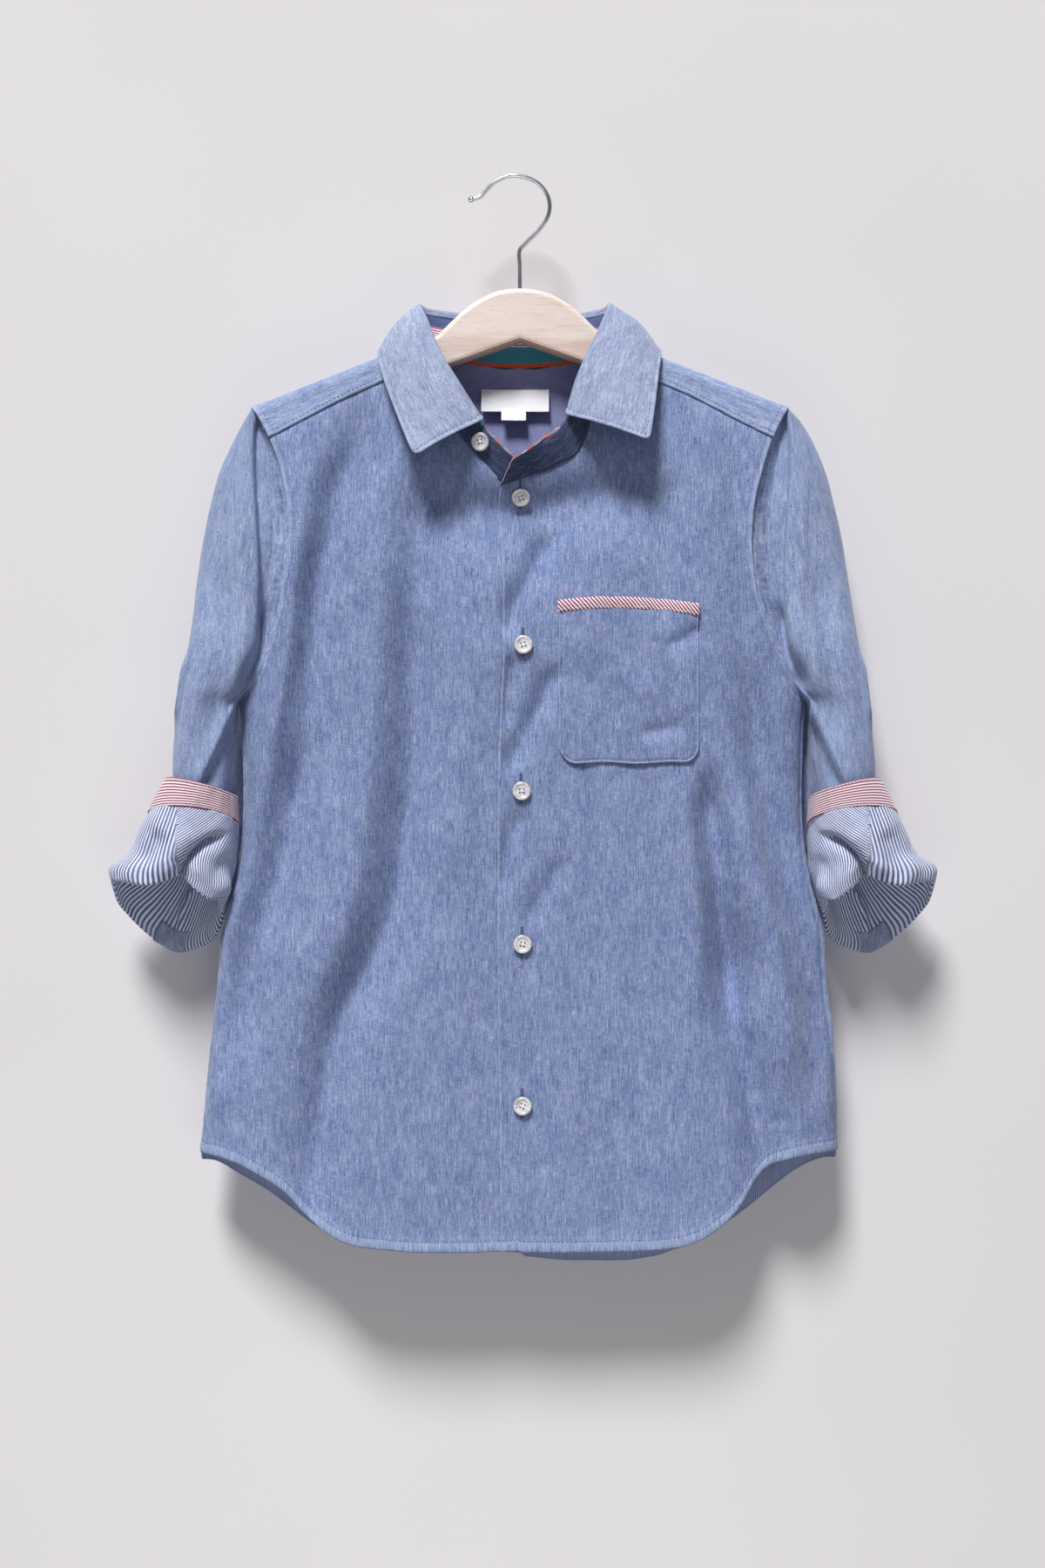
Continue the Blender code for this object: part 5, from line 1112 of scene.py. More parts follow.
class Finish:
    """One material and the nodes that paint it."""

    def __init__(self, name, roughness, **sockets):
        self.material = bpy.data.materials.new(name)
        self.material.use_nodes = True
        self.tree = self.material.node_tree
        self.shader = self.tree.nodes["Principled BSDF"]
        self.shader.inputs["Roughness"].default_value = roughness
        for socket, value in sockets.items():
            self.shader.inputs[socket.replace("_", " ")].default_value = value

    def put(self, socket, value):
        if isinstance(value, bpy.types.NodeSocket):
            self.tree.links.new(value, socket)
        else:
            socket.default_value = value

    def node(self, kind, inputs=(), **settings):
        made = self.tree.nodes.new(kind)
        for name, value in settings.items():
            setattr(made, name, value)
        for key, value in dict(inputs).items():
            self.put(made.inputs[key], value)
        return made

    def math(self, operation, *values, clamp=False):
        made = self.node("ShaderNodeMath", dict(enumerate(values)), operation=operation, use_clamp=clamp)
        return made.outputs[0]

    def millimetres(self):
        """The cloth's own coordinates: across it and along its grain."""
        plain = self.node("ShaderNodeUVMap", uv_map="UVMap").outputs["UV"]
        scaled = self.node("ShaderNodeVectorMath", {0: plain, 1: (1000, 1000, 1000)}, operation="MULTIPLY")
        return scaled.outputs[0]

    def stretched(self, vector, across, along, deep=1.0, shift=0.0):
        made = self.node(
            "ShaderNodeVectorMath",
            {0: vector, 1: (across, along, deep), 2: (shift, 1.7 * shift, 0.0)},
            operation="MULTIPLY_ADD",
        )
        return made.outputs[0]

    def noise(self, vector, across, along, detail=2.0, shift=0.0, deep=1.0):
        """Uneven tone around 0, with spots about one unit of its scales apart."""
        made = self.node(
            "ShaderNodeTexNoise",
            {"Vector": self.stretched(vector, across, along, deep, shift), "Scale": 1.0, "Detail": detail},
        )
        return self.math("SUBTRACT", made.outputs["Fac"], 0.5)

    def total(self, *terms):
        """The sum of sockets times their weights."""
        result = 0.0
        for socket, weight in terms:
            result = self.math("MULTIPLY_ADD", socket, weight, result)
        return result

    def between(self, value, start, end):
        made = self.node("ShaderNodeMapRange", {0: value, 1: start, 2: end}, interpolation_type="SMOOTHSTEP")
        return made.outputs[0]

    def mix(self, factor, first, second):
        made = self.node("ShaderNodeMix", {0: factor, 6: first, 7: second}, data_type="RGBA")
        return made.outputs[2]

    def ramp(self, factor, *stops):
        made = self.node("ShaderNodeValToRGB", {0: factor})
        band = made.color_ramp
        while len(band.elements) < len(stops):
            band.elements.new(0.5)
        for element, (place, colour) in zip(band.elements, stops):
            element.position = place
            element.color = linear(colour)
        return made.outputs[0]

    def parts(self, vector):
        made = self.node("ShaderNodeSeparateXYZ", {0: vector})
        return made.outputs[0], made.outputs[1]

    def wave(self, value, pitch):
        """0 to 1 and back once in each pitch."""
        turn = self.math("MULTIPLY", value, 2 * math.pi / pitch)
        return self.math("MULTIPLY_ADD", self.math("SINE", turn), 0.5, 0.5)

    def attribute(self, name):
        return self.node("ShaderNodeAttribute", attribute_name=name).outputs["Fac"]

    def object_place(self):
        return self.node("ShaderNodeTexCoord").outputs["Object"]

    def tint(self, colour, amount, weight, tone):
        """A colour mixed with a tone by an uneven amount times a weight."""
        return self.mix(self.math("MULTIPLY", amount, weight), colour, linear(tone))

    def roughness(self, value, weight, level):
        self.put(self.shader.inputs["Roughness"], self.math("MULTIPLY_ADD", value, weight, level))

    def colour(self, value):
        self.put(self.shader.inputs["Base Color"], value)

    def bump(self, height, distance_mm, strength=1.0):
        made = self.node("ShaderNodeBump", {"Height": height, "Distance": distance_mm * MM, "Strength": strength})
        self.put(self.shader.inputs["Normal"], made.outputs[0])


def face_cloth(name, shift=0.0, tones=FACE_TONES):
    """Blue cloth of uneven warp threads over a paler weft, with slubs and soft cloudy patches."""
    finish = Finish(name, 0.92, Sheen_Weight=0.18, Sheen_Roughness=0.45, Specular_IOR_Level=0.18)
    cloth = finish.millimetres()
    thread = finish.noise(cloth, 2.1, 0.11, 1.0, shift)
    slub = finish.noise(cloth, 1.05, 0.035, 2.0, shift + 5)
    short = finish.noise(cloth, 1.5, 0.4, 1.0, shift + 9)
    weft = finish.noise(cloth, 0.2, 2.3, 1.0, shift + 3)
    cloud = finish.noise(cloth, 0.085, 0.04, 3.0, shift + 7)
    patch_tone = finish.noise(cloth, 0.24, 0.13, 2.0, shift + 11)
    tone = finish.total((thread, 1.0), (slub, 0.5), (short, 0.7), (weft, 0.55), (cloud, 0.42), (patch_tone, 0.42))
    dark, middle, light = tones
    colour = finish.ramp(finish.math("ADD", tone, 0.5), (0.1, dark), (0.5, middle), (0.9, light))
    cyan = finish.between(finish.noise(cloth, 0.5, 0.16, 2.0, shift + 21), 0.08, 0.2)
    colour = finish.tint(colour, cyan, 0.3, (112, 166, 205))
    lilac = finish.between(finish.noise(cloth, 0.36, 0.12, 2.0, shift + 31), 0.07, 0.2)
    colour = finish.tint(colour, lilac, 0.26, (166, 146, 190))
    worn = finish.math("MULTIPLY_ADD", thread, 1.6, 0.42)
    worn = finish.math("MULTIPLY", finish.attribute("wear"), worn, clamp=True)
    finish.colour(finish.tint(colour, worn, 0.75, (184, 199, 226)))
    across, along = finish.parts(cloth)
    rib, pick = finish.wave(across, 0.95), finish.wave(along, 0.8)
    height = finish.total((thread, 0.8), (weft, 0.6), (rib, 0.28), (pick, 0.16), (slub, 0.5))
    finish.bump(height, 0.22, 0.85)
    return finish.material


def striped_cloth(name, pale, dark, pitch, shift=0.0):
    """Fine stripes along the grain, as on the cloth's reverse."""
    finish = Finish(name, 0.92, Sheen_Weight=0.15, Sheen_Roughness=0.5, Specular_IOR_Level=0.18)
    cloth = finish.millimetres()
    across, along = finish.parts(cloth)
    waver = finish.noise(cloth, 0.12, 0.03, 1.0, shift)
    stripe = finish.wave(finish.math("MULTIPLY_ADD", waver, 0.5, across), pitch)
    thread = finish.noise(cloth, 2.6, 0.5, 1.0, shift + 3)
    slub = finish.noise(cloth, 0.3, 0.05, 2.0, shift + 6)
    stripe = finish.total((stripe, 1.0), (thread, 0.5), (slub, 0.5))
    share = finish.between(stripe, 0.28, 0.72)
    colour = finish.mix(share, linear(dark), linear(pale))
    tint = finish.between(finish.noise(cloth, 0.08, 0.05, 2.0, shift + 12), -0.1, 0.15)
    finish.colour(finish.tint(colour, tint, 0.25, (168, 176, 214)))
    height = finish.total((finish.wave(across, pitch), 0.7), (thread, 0.5), (finish.wave(along, 0.7), 0.2))
    finish.bump(height, 0.16, 0.8)
    return finish.material


def pink_stripes(name, pitch, pale, dark, lean=0.0):
    """Stripes that run round a band, or lean across a binding."""
    finish = Finish(name, 0.9, Sheen_Weight=0.15, Specular_IOR_Level=0.18)
    cloth = finish.millimetres()
    across, along = finish.parts(cloth)
    place = finish.math("MULTIPLY_ADD", across, lean, along)
    waver = finish.noise(cloth, 0.05, 0.1, 1.0, 2.0)
    place = finish.math("MULTIPLY_ADD", waver, 0.3, place)
    thread = finish.noise(cloth, 1.2, 1.6, 1.0, 4.0)
    fleck = finish.noise(cloth, 2.4, 0.9, 1.0, 8.0)
    stripe = finish.total((finish.wave(place, pitch), 1.0), (thread, 0.2), (fleck, 0.15))
    colour = finish.mix(finish.between(stripe, 0.34, 0.66), linear(dark), linear(pale))
    colour = finish.mix(finish.between(fleck, 0.2, 0.3), colour, linear((214, 178, 190)))
    finish.colour(colour)
    height = finish.total((finish.wave(place, pitch), 0.6), (thread, 0.5))
    finish.bump(height, 0.2, 0.9)
    return finish.material


def facing_cloth(name):
    """The band's facing: an orange line at its seam, teal, then pink and white stripes, and at its top a dark blue
    strip of painted shade under the leaf.
    """
    finish = Finish(name, 0.9, Sheen_Weight=0.1, Specular_IOR_Level=0.2)
    cloth = finish.millimetres()
    across, up = finish.parts(cloth)
    wobble = finish.math("MULTIPLY", finish.noise(cloth, 0.12, 0.1, 1.0), 1.2)
    up = finish.math("ADD", up, wobble)
    teal = finish.mix(finish.wave(up, 0.9), linear((36, 120, 140)), linear((92, 176, 190)))
    row = finish.between(finish.wave(up, 1.7), 0.35, 0.65)
    rows = finish.mix(row, linear((196, 110, 136)), linear((244, 226, 234)))
    colour = finish.mix(finish.between(up, 13.0, 13.8), teal, rows)
    colour = finish.mix(finish.between(up, 2.2, 2.7), linear((232, 96, 58)), colour)
    # A dark blue strip at the top stands for the leaf's cloth in shade: painted shade
    colour = finish.mix(finish.between(up, 20.0, 21.0), colour, linear((84, 98, 140)))
    blocks = finish.between(finish.math("ABSOLUTE", across), 118.0, 118.6)
    checks = finish.wave(across, 11.0)
    ends = finish.mix(finish.between(checks, 0.62, 0.7), linear((70, 176, 196)), linear((240, 112, 62)))
    ends = finish.mix(finish.between(checks, 0.28, 0.36), rows, ends)
    colour = finish.mix(blocks, colour, ends)
    fleck = finish.between(finish.noise(cloth, 1.8, 1.8, 1.0), 0.0, 0.3)
    finish.colour(finish.mix(fleck, colour, linear((60, 70, 100))))
    finish.bump(finish.total((finish.wave(up, 0.9), 0.5), (finish.noise(cloth, 2.0, 2.0), 0.6)), 0.18, 0.8)
    return finish.material


def label_cloth(name):
    finish = Finish(name, 0.62, Sheen_Weight=0.1, Specular_IOR_Level=0.35)
    cloth = finish.millimetres()
    across, along = finish.parts(cloth)
    weave = finish.total((finish.wave(across, 0.5), 0.5), (finish.wave(along, 0.36), 0.5))
    uneven = finish.noise(cloth, 0.2, 0.5, 2.0)
    tone = finish.total((weave, 0.35), (uneven, 0.25))
    finish.colour(finish.ramp(tone, (0.0, (238, 238, 243)), (0.5, (251, 251, 252))))
    finish.bump(weave, 0.08, 0.7)
    return finish.material


def thread_finish(name, pale, dark):
    finish = Finish(name, 0.7, Sheen_Weight=0.2, Specular_IOR_Level=0.25)
    place = finish.object_place()
    twist = finish.noise(place, 4200, 4200, 1.0, deep=4200)
    finish.colour(finish.mix(finish.between(twist, -0.15, 0.15), linear(dark), linear(pale)))
    finish.bump(twist, 0.05, 0.6)
    return finish.material


def shell_finish(name):
    """Pearly button: cloudy grey swirls under a polished face, with painted shade on its outer rim, its back and in
    its holes.
    """
    finish = Finish(name, 0.22, Specular_IOR_Level=0.55, Coat_Weight=0.35, Coat_Roughness=0.12)
    place = finish.object_place()
    swirl = finish.node(
        "ShaderNodeTexNoise",
        {"Vector": finish.stretched(place, 260, 260, 260), "Scale": 1.0, "Detail": 3.0, "Distortion": 1.4},
    ).outputs["Fac"]
    # depth darkens the outer rim, the back and the walls of the holes: painted shade
    depth = finish.attribute("depth")
    stops = (0.3, (172, 168, 171)), (0.48, (206, 203, 205)), (0.62, (226, 224, 225)), (0.74, (198, 198, 206))
    finish.colour(finish.mix(depth, finish.ramp(swirl, *stops), linear((112, 108, 116))))
    finish.roughness(swirl, 0.25, 0.12)
    finish.bump(swirl, 0.03, 0.4)
    return finish.material


def wood_finish(name):
    """Pale close-grained wood: fine grain along the hanger, small dark pores, a satin varnish, and painted shade
    that darkens and warms its underside.
    """
    finish = Finish(name, 0.42, Specular_IOR_Level=0.4, Coat_Weight=0.12, Coat_Roughness=0.3)
    place = finish.object_place()
    wide = finish.noise(place, 10, 130, 3.0, deep=90)
    fine = finish.noise(place, 45, 1500, 2.0, deep=900)
    pores = finish.noise(place, 160, 2600, 1.0, deep=2600)
    tone = finish.total((wide, 1.2), (fine, 0.55))
    stops = (0.2, (212, 188, 176)), (0.5, (228, 212, 204)), (0.8, (236, 224, 217))
    colour = finish.ramp(finish.math("ADD", tone, 0.5), *stops)
    colour = finish.tint(colour, finish.between(pores, 0.13, 0.22), 0.45, (196, 158, 128))
    # Faces turned downwards are tinted darker and warmer: painted shade on the underside
    normal = finish.node("ShaderNodeNewGeometry").outputs["Normal"]
    upness = finish.node("ShaderNodeSeparateXYZ", {0: normal}).outputs[2]
    under = finish.between(upness, -0.25, -0.9)
    finish.colour(finish.tint(colour, under, 0.5, (206, 150, 96)))
    finish.roughness(fine, 0.35, 0.42)
    finish.bump(finish.total((fine, 0.7), (pores, 0.5)), 0.08, 0.5)
    return finish.material


def steel_finish(name):
    finish = Finish(name, 0.22, Metallic=1.0)
    place = finish.object_place()
    drawn = finish.noise(place, 900, 900, 2.0, deep=900)
    cloudy = finish.noise(place, 60, 60, 2.0, deep=60)
    tone = finish.total((drawn, 0.5), (cloudy, 0.6))
    finish.colour(finish.ramp(finish.math("ADD", tone, 0.5), (0.2, (150, 150, 154)), (0.7, (214, 214, 218))))
    finish.roughness(cloudy, 0.3, 0.24)
    finish.bump(drawn, 0.02, 0.4)
    return finish.material


# ---- pieces -------------------------------------------------------------------------------------


def ride(thing, replaced=()):
    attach(thing, "root")
    if replaced:
        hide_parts(*replaced)


def add_object(name, data):
    thing = bpy.data.objects.new(name, data)
    bpy.context.scene.collection.objects.link(thing)
    return thing


def add_mesh(name, vertices, faces, finishes=()):
    mesh = bpy.data.meshes.new(name)
    mesh.from_pydata(np.asarray(vertices).tolist(), [], faces)
    mesh.update()
    for finish in finishes:
        mesh.materials.append(finish)
    mesh.shade_smooth()
    return add_object(name, mesh)


def sheet(
    node, grid, uv, outward, finishes, piece=None, wall=SHELL, wear=None, closed_from=None
):
    """A cloth piece in a node's place: a shell under a grid of points, with the cloth's coordinates as its UVs.
    """
    rows, columns = grid.shape[:2]
    index = np.arange(rows * columns).reshape(rows, columns)
    if closed_from is not None:
        index[closed_from:, -1] = index[closed_from:, 0]
    corners = np.stack([index[:-1, :-1], index[:-1, 1:], index[1:, 1:], index[1:, :-1]], axis=-1).reshape(-1, 4)
    uv = np.stack([uv[:-1, :-1], uv[:-1, 1:], uv[1:, 1:], uv[1:, :-1]], axis=2).reshape(-1, 4, 2)
    place = to_metres(grid)
    across = place[:-1, 1:] - place[:-1, :-1]
    along = place[1:, :-1] - place[:-1, :-1]
    out = np.asarray(outward, dtype=float) * (1, 1, -1)
    out = out[:-1, :-1] if out.ndim > 1 else out
    if np.mean(np.sum(np.cross(across, along) * out, axis=-1)) < 0:
        corners, uv = corners[:, ::-1], uv[:, ::-1]
    used, corners = np.unique(corners, return_inverse=True)
    name = piece or f"{node}_cloth"
    thing = add_mesh(name, place.reshape(-1, 3)[used], corners.reshape(-1, 4).tolist(), finishes)
    mesh = thing.data
    layer = mesh.uv_layers.new(name="UVMap")
    layer.data.foreach_set("uv", (np.ascontiguousarray(uv) * MM).ravel())
    amount = np.zeros(rows * columns) if wear is None else np.asarray(wear, dtype=float).ravel()
    mesh.attributes.new("wear", "FLOAT", "POINT").data.foreach_set("value", np.ascontiguousarray(amount[used]))
    solidify = thing.modifiers.new("wall", "SOLIDIFY")
    solidify.thickness = wall * MM
    solidify.offset = -1.0
    solidify.material_offset = len(finishes) - 1
    ride(thing, [node])


def line_at(grid, normals, distance, at, by_rows=True):
    """The line on a grid at a distance from one of its edges, with the normals along it."""
    if not by_rows:
        grid, normals, distance = grid.transpose(1, 0, 2), normals.transpose(1, 0, 2), distance.T
    line, out = [], []
    for place, normal, far in zip(grid, normals, distance):
        order = np.argsort(far)
        if far[order[-1]] < at:
            continue
        line.append([np.interp(at, far[order], place[order, axis]) for axis in range(3)])
        out.append([np.interp(at, far[order], normal[order, axis]) for axis in range(3)])
    return np.array(line), np.array(out)


def ring_faces(rings, sides, first=0):
    """Quads between rings of points that follow one another."""
    return [
        (low + step, low + (step + 1) % sides, low + (step + 1) % sides + sides, low + step + sides)
        for low in range(first, first + (rings - 1) * sides, sides)
        for step in range(sides)
    ]


def capsules(starts, ends, lifts, radius):
    """Vertices and faces of short round-ended bars between points, arched along lifts."""
    vertices, faces = [], []
    turn = full_turn(STITCH_SIDES)
    for start, end, lift in zip(starts, ends, lifts):
        along = end - start
        length = np.linalg.norm(along)
        if length < 1e-6:
            continue
        along = along / length
        side = np.cross(along, lift)
        side = side / max(np.linalg.norm(side), 1e-9)
        up = np.cross(side, along)
        first = len(vertices)
        for share, full in CAPSULE:
            arch = 0.9 * radius * math.sin(math.pi * share) - 0.25 * radius
            centre = start + along * length * share + lift * arch
            for angle in turn:
                reach = max(full, 0.12) * radius
                vertices.append(centre + reach * (math.cos(angle) * side + math.sin(angle) * up))
        faces += ring_faces(len(CAPSULE), STITCH_SIDES, first)
    return vertices, faces


def stitch_run(line, out, pitch=STITCH_PITCH, length=STITCH_LENGTH, seed=1, proud=0.05):
    """Starts, ends and lifts of stitches along a line."""
    steps = np.linalg.norm(np.diff(line, axis=0), axis=1)
    run = running(steps)
    draw = np.random.default_rng(seed)
    count = int(run[-1] / pitch)
    at = (np.arange(count) + 0.5) * pitch + draw.uniform(-0.12, 0.12, count) * pitch
    half = 0.5 * length * draw.uniform(0.85, 1.12, count)

    def there(values, where):
        return np.stack([np.interp(where, run, values[:, axis]) for axis in range(3)], axis=1)

    lift = unit(there(out, at))
    return there(line, at - half) + proud * lift, there(line, at + half) + proud * lift, lift


def edge_run(cloth, at, seed, part=..., by_rows=True):
    """Stitches on the line at a distance from an edge of a cloth, given by its grid, normals and distances."""
    return stitch_run(*line_at(*(values[part] for values in cloth), at, by_rows), seed=seed)


def stitches(name, runs, finish, radius=STITCH_RADIUS):
    starts, ends, lifts = (np.concatenate(part) for part in zip(*runs))
    vertices, faces = capsules(starts, ends, lifts, radius)
    ride(add_mesh(name, to_metres(vertices), faces, [finish]))


def tube(name, path, radii, finish, sides=16):
    """A round bar along a path with its own radius at each point; its ends are left open."""
    along = unit(np.gradient(path, axis=0))
    side = unit(np.cross(along, (0.0, 1.0, 0.0)))
    up = np.cross(side, along)
    turn = full_turn(sides)
    rings = path[:, None] + np.asarray(radii)[:, None, None] * (
        np.cos(turn)[None, :, None] * side[:, None] + np.sin(turn)[None, :, None] * up[:, None]
    )
    vertices = to_metres(rings.reshape(-1, 3))
    return add_mesh(name, vertices, ring_faces(len(path), sides), [finish])


# ---- buttons, threads and hook ------------------------------------------------------------------


def lathe(profile, sides):
    """Vertices and faces of a profile of radius and height turned round z, closed at both ends."""
    vertices = [
        (radius * math.cos(angle), radius * math.sin(angle), height)
        for radius, height in profile
        for angle in full_turn(sides)
    ]
    faces = ring_faces(len(profile), sides)
    faces.append(tuple(range(sides))[::-1])
    faces.append(tuple(range((len(profile) - 1) * sides, len(profile) * sides)))
    return vertices, faces


def button_mesh():
    """A dished button with four holes, its back at the origin and its face along z, in millimetres."""
    thing = add_mesh("button_blank", *lathe(BUTTON_PROFILE, 48))
    cutters = []
    vertices, faces = lathe(((BUTTON_HOLE_RADIUS, -2.0), (BUTTON_HOLE_RADIUS, 4.0)), 18)
    for corner in range(4):
        angle = math.pi / 4 + corner * math.pi / 2
        moved = np.array(vertices) + BUTTON_HOLE_REACH * np.array([math.cos(angle), math.sin(angle), 0])
        cutter = add_mesh("button_cutter", moved, faces)
        cutters.append(cutter)
        cut = thing.modifiers.new("hole", "BOOLEAN")
        cut.operation = "DIFFERENCE"
        cut.object = cutter
    bpy.context.view_layer.update()
    shaped = thing.evaluated_get(bpy.context.evaluated_depsgraph_get())
    mesh = bpy.data.meshes.new_from_object(shaped)
    for item in [thing, *cutters]:
        bpy.data.objects.remove(item)
    return mesh


def frame_on(outward):
    """Axes with z along a direction of the garment's frame, as rows in metres' axes."""
    z = Vector((outward[0], outward[1], -outward[2])).normalized()
    x = Vector((1, 0, 0))
    x = (x - x.dot(z) * z).normalized()
    return x, z.cross(x), z


def place_button(name, blank, place, outward, spin, finishes, replaced):
    """One button and the crossed threads that hold it."""
    x, y, z = (np.array(axis) for axis in frame_on(outward))
    turned_x = math.cos(spin) * x + math.sin(spin) * y
    turned_y = math.cos(spin) * y - math.sin(spin) * x
    origin = to_metres(place)
    mesh = blank.copy()
    mesh.name = name
    flat = np.array([vertex.co for vertex in mesh.vertices])
    axes = np.array([turned_x, turned_y, z])
    mesh.vertices.foreach_set("co", (origin + flat @ axes * MM).ravel())
    radius = np.hypot(flat[:, 0], flat[:, 1])
    # depth: how much painted shade the shell gets, on its outer rim, its back and in its holes
    depth = np.maximum(np.clip((radius - 5.0) / 0.7, 0, 1) * 0.75, np.clip((1.45 - flat[:, 2]) / 0.5, 0, 1))
    mesh.attributes.new("depth", "FLOAT", "POINT").data.foreach_set("value", depth)
    mesh.materials.clear()
    mesh.materials.append(finishes["shell"])
    mesh.shade_smooth()
    mesh.set_sharp_from_angle(angle=math.radians(SHARP_ANGLE))
    ride(add_object(name, mesh), replaced)
    reach = BUTTON_HOLE_REACH / math.sqrt(2)
    starts, ends, lifts = [], [], []
    for number, (side_x, side_y) in enumerate(((1, 1), (1, -1))):
        for strand in (-0.26, 0.0, 0.26):
            off = strand * np.array([-side_y, side_x]) / math.sqrt(2)
            height = 1.36 + 0.13 * number
            starts.append((side_x * reach + off[0], side_y * reach + off[1], height))
            ends.append((-side_x * reach + off[0], -side_y * reach + off[1], height))
            lifts.append((0, 0, 1.0))
    vertices, faces = capsules(np.array(starts), np.array(ends), np.array(lifts), 0.2)
    at = origin + np.array(vertices) @ axes * MM
    threads = add_mesh(f"{name}_thread", at, faces, [finishes["white_thread"]])
    ride(threads)


def surface(x, down, lift=0.0, step=1.5):
    """Points of the left front, lifted along its normals, and those normals."""
    x, down = (np.atleast_1d(np.asarray(value, dtype=float)) for value in np.broadcast_arrays(x, down))
    place = on_left_front(x, down, 0.0)
    across = on_left_front(x + step, down, 0.0) - on_left_front(x - step, down, 0.0)
    along = on_left_front(x, down + step, 0.0) - on_left_front(x, down - step, 0.0)
    normal = unit(np.cross(across, along))
    normal = normal * np.sign(-normal[..., 1:2])
    return place + lift * normal, normal


def buttonhole(x, top, bottom):
    """Starts, ends and lifts of the satin stitches round a buttonhole."""
    rows = np.repeat(np.arange(top, bottom, 0.5), 2)
    side = np.tile([-1.0, 1.0], len(rows) // 2)
    starts, lifts = surface(x + side * 0.3, rows, 0.22)
    ends, _ = surface(x + side * 1.25, rows + 0.1 * side, 0.1)
    bars = np.array([top - 0.15, top - 0.5, bottom, bottom + 0.35])
    bar_starts, bar_lifts = surface(x - 1.15, bars, 0.16)
    bar_ends, _ = surface(x + 1.15, bars, 0.16)
    return tuple(np.concatenate(pair) for pair in ((starts, bar_starts), (ends, bar_ends), (lifts, bar_lifts)))


def build_hook(finish):
    path = catmull([(x, 0.0, down) for x, down in HOOK_PATH], 170)
    radii = [HOOK_WIRE] * len(path)
    along = unit(path[-1] - path[-2])
    path = np.concatenate([path, [path[-1] + step * along for step, _ in HOOK_BALL]])
    wire = tube("hook_wire", path, radii + [radius for _, radius in HOOK_BALL], finish, 20)
    ride(wire, ["hanger_hook"])


# ---- the whole garment --------------------------------------------------------------------------


def chart(across, along):
    return np.stack(np.broadcast_arrays(across, along), axis=-1)


def upright_chart(grid):
    """The coordinates of a cloth whose grain runs straight down."""
    return chart(grid[..., 0], -grid[..., 2])


def build_body(finishes):
    looks = [finishes["body"], finishes["reverse"]]
    seams = []
    for side, name in SIDES:
        grid, wear, at_side, at_hem = front_grid(side)
        sheet(f"front_{name}", grid, upright_chart(grid), FORWARDS, looks, wear=wear)
        normals = facing(grid, FORWARDS)
        above = grid[:, 0, 2] < ARMHOLE_STITCH_END
        seams.append(edge_run((grid, normals, at_side), ARMHOLE_STITCH, 100 + side, above))
        seams.append(edge_run((grid, normals, at_hem), HEM_STITCH, 103 + side, by_rows=False))
    grid, wear, at_side, at_hem = back_grid()
    sheet("back", grid, upright_chart(grid), BACKWARDS, looks, wear=wear)
    normals = facing(grid, BACKWARDS)
    seams.append(edge_run((grid, normals, at_hem), HEM_STITCH, 106, by_rows=False))
    above = grid[:, 0, 2] < ARMHOLE_STITCH_END
    for half in halves(grid):
        seams.append(edge_run((grid, normals, at_side), ARMHOLE_STITCH, 107, (above, half)))
    return seams + build_yoke(finishes)


def build_yoke(finishes):
    grid, wear, flat, at_armhole, at_front, at_back, side_count = yoke_grid()
    away = off_ridge(grid)
    looks = [finishes["yoke"], finishes["yoke_reverse"]]
    sheet("yoke", grid, chart(flat[..., 1], flat[..., 0]), away, looks, wear=wear)
    normals = facing(grid, away)
    seams = []
    for part in (slice(0, side_count), slice(-side_count, None)):
        seams.append(edge_run((grid, normals, at_armhole), ARMHOLE_STITCH, 110, (slice(None), part), by_rows=False))
    for part in (slice(0, 60), slice(-60, None)):
        seams.append(edge_run((grid, normals, at_front), YOKE_STITCH, 112, (slice(None), part)))
    middle = (slice(None), slice(side_count, -side_count))
    return seams + [edge_run((grid, normals, at_back), YOKE_STITCH, 114, middle, by_rows=False)]


def build_sleeves(finishes):
    seams = []
    for side, name in SIDES:
        grid, rows, mouth, closed_row = sleeve_grid(side)
        grid = sleeve_relief(side, grid, rows, mouth)
        away = sideways(off_middle(grid)) * np.where(rows > mouth + 2, -1, 1)[:, None, None]
        across = np.linspace(0, 1, grid.shape[1]) * SLEEVE_AROUND + pleat_stripes(side, grid, rows, mouth)
        sheet(
            f"sleeve_{name}",
            turned(grid, side),
            ordered(chart(across, -rows[:, None]), side),
            turned(away * (rows < mouth - 2)[:, None, None], side),
            [finishes["sleeve"], finishes["sleeve_reverse"]],
            closed_from=closed_row,
        )
        band, at = band_rings(side)
        placed, out = turned(band, side), turned(sideways(off_middle(band)), side)
        sheet(
            f"cuff_band_{name}",
            placed,
            ordered(chart(np.linspace(0, SLEEVE_AROUND, band.shape[1]), at[:, None]), side),
            out,
            [finishes["pink"]],
            wall=1.1,
            closed_from=0,
        )
        normals = facing(placed, out)
        for height in BAND_STITCH_ROWS:
            row = int(np.argmin(np.abs(at - height)))
            seams.append(stitch_run(placed[row], normals[row], 2.2, 1.4, seed=120 + side))
        placket_piece(side, name, grid, rows, mouth, finishes)
    return seams


def placket_piece(side, name, grid, rows, mouth, finishes):
    """The small piece on the inner back wall of a turned-up sleeve's mouth, in the collar leaf's face cloth with
    its lighter tones of painted light.
    """
    degrees = np.linspace(0, 360, grid.shape[1])
    columns = (degrees >= PLACKET_PATCH[0] - 4) & (degrees <= PLACKET_PATCH[1] + 5)
    band = (rows >= mouth - 12.5) & (rows <= mouth + 1.6)
    wall = grid[band][:, columns]
    centre = grid[band][:, :-1].mean(axis=(0, 1))
    normals = facing(wall, centre - wall)
    lift = SHELL + 0.45 + 0.5 * bump(np.linspace(0, 1, wall.shape[1])[:, None], 0, 0.12)
    placed = turned(wall + lift * normals, side)
    looks = [finishes["collar"]]
    sheet(f"sleeve_placket_{name}", placed, upright_chart(placed), turned(normals, side), looks, wall=0.5)


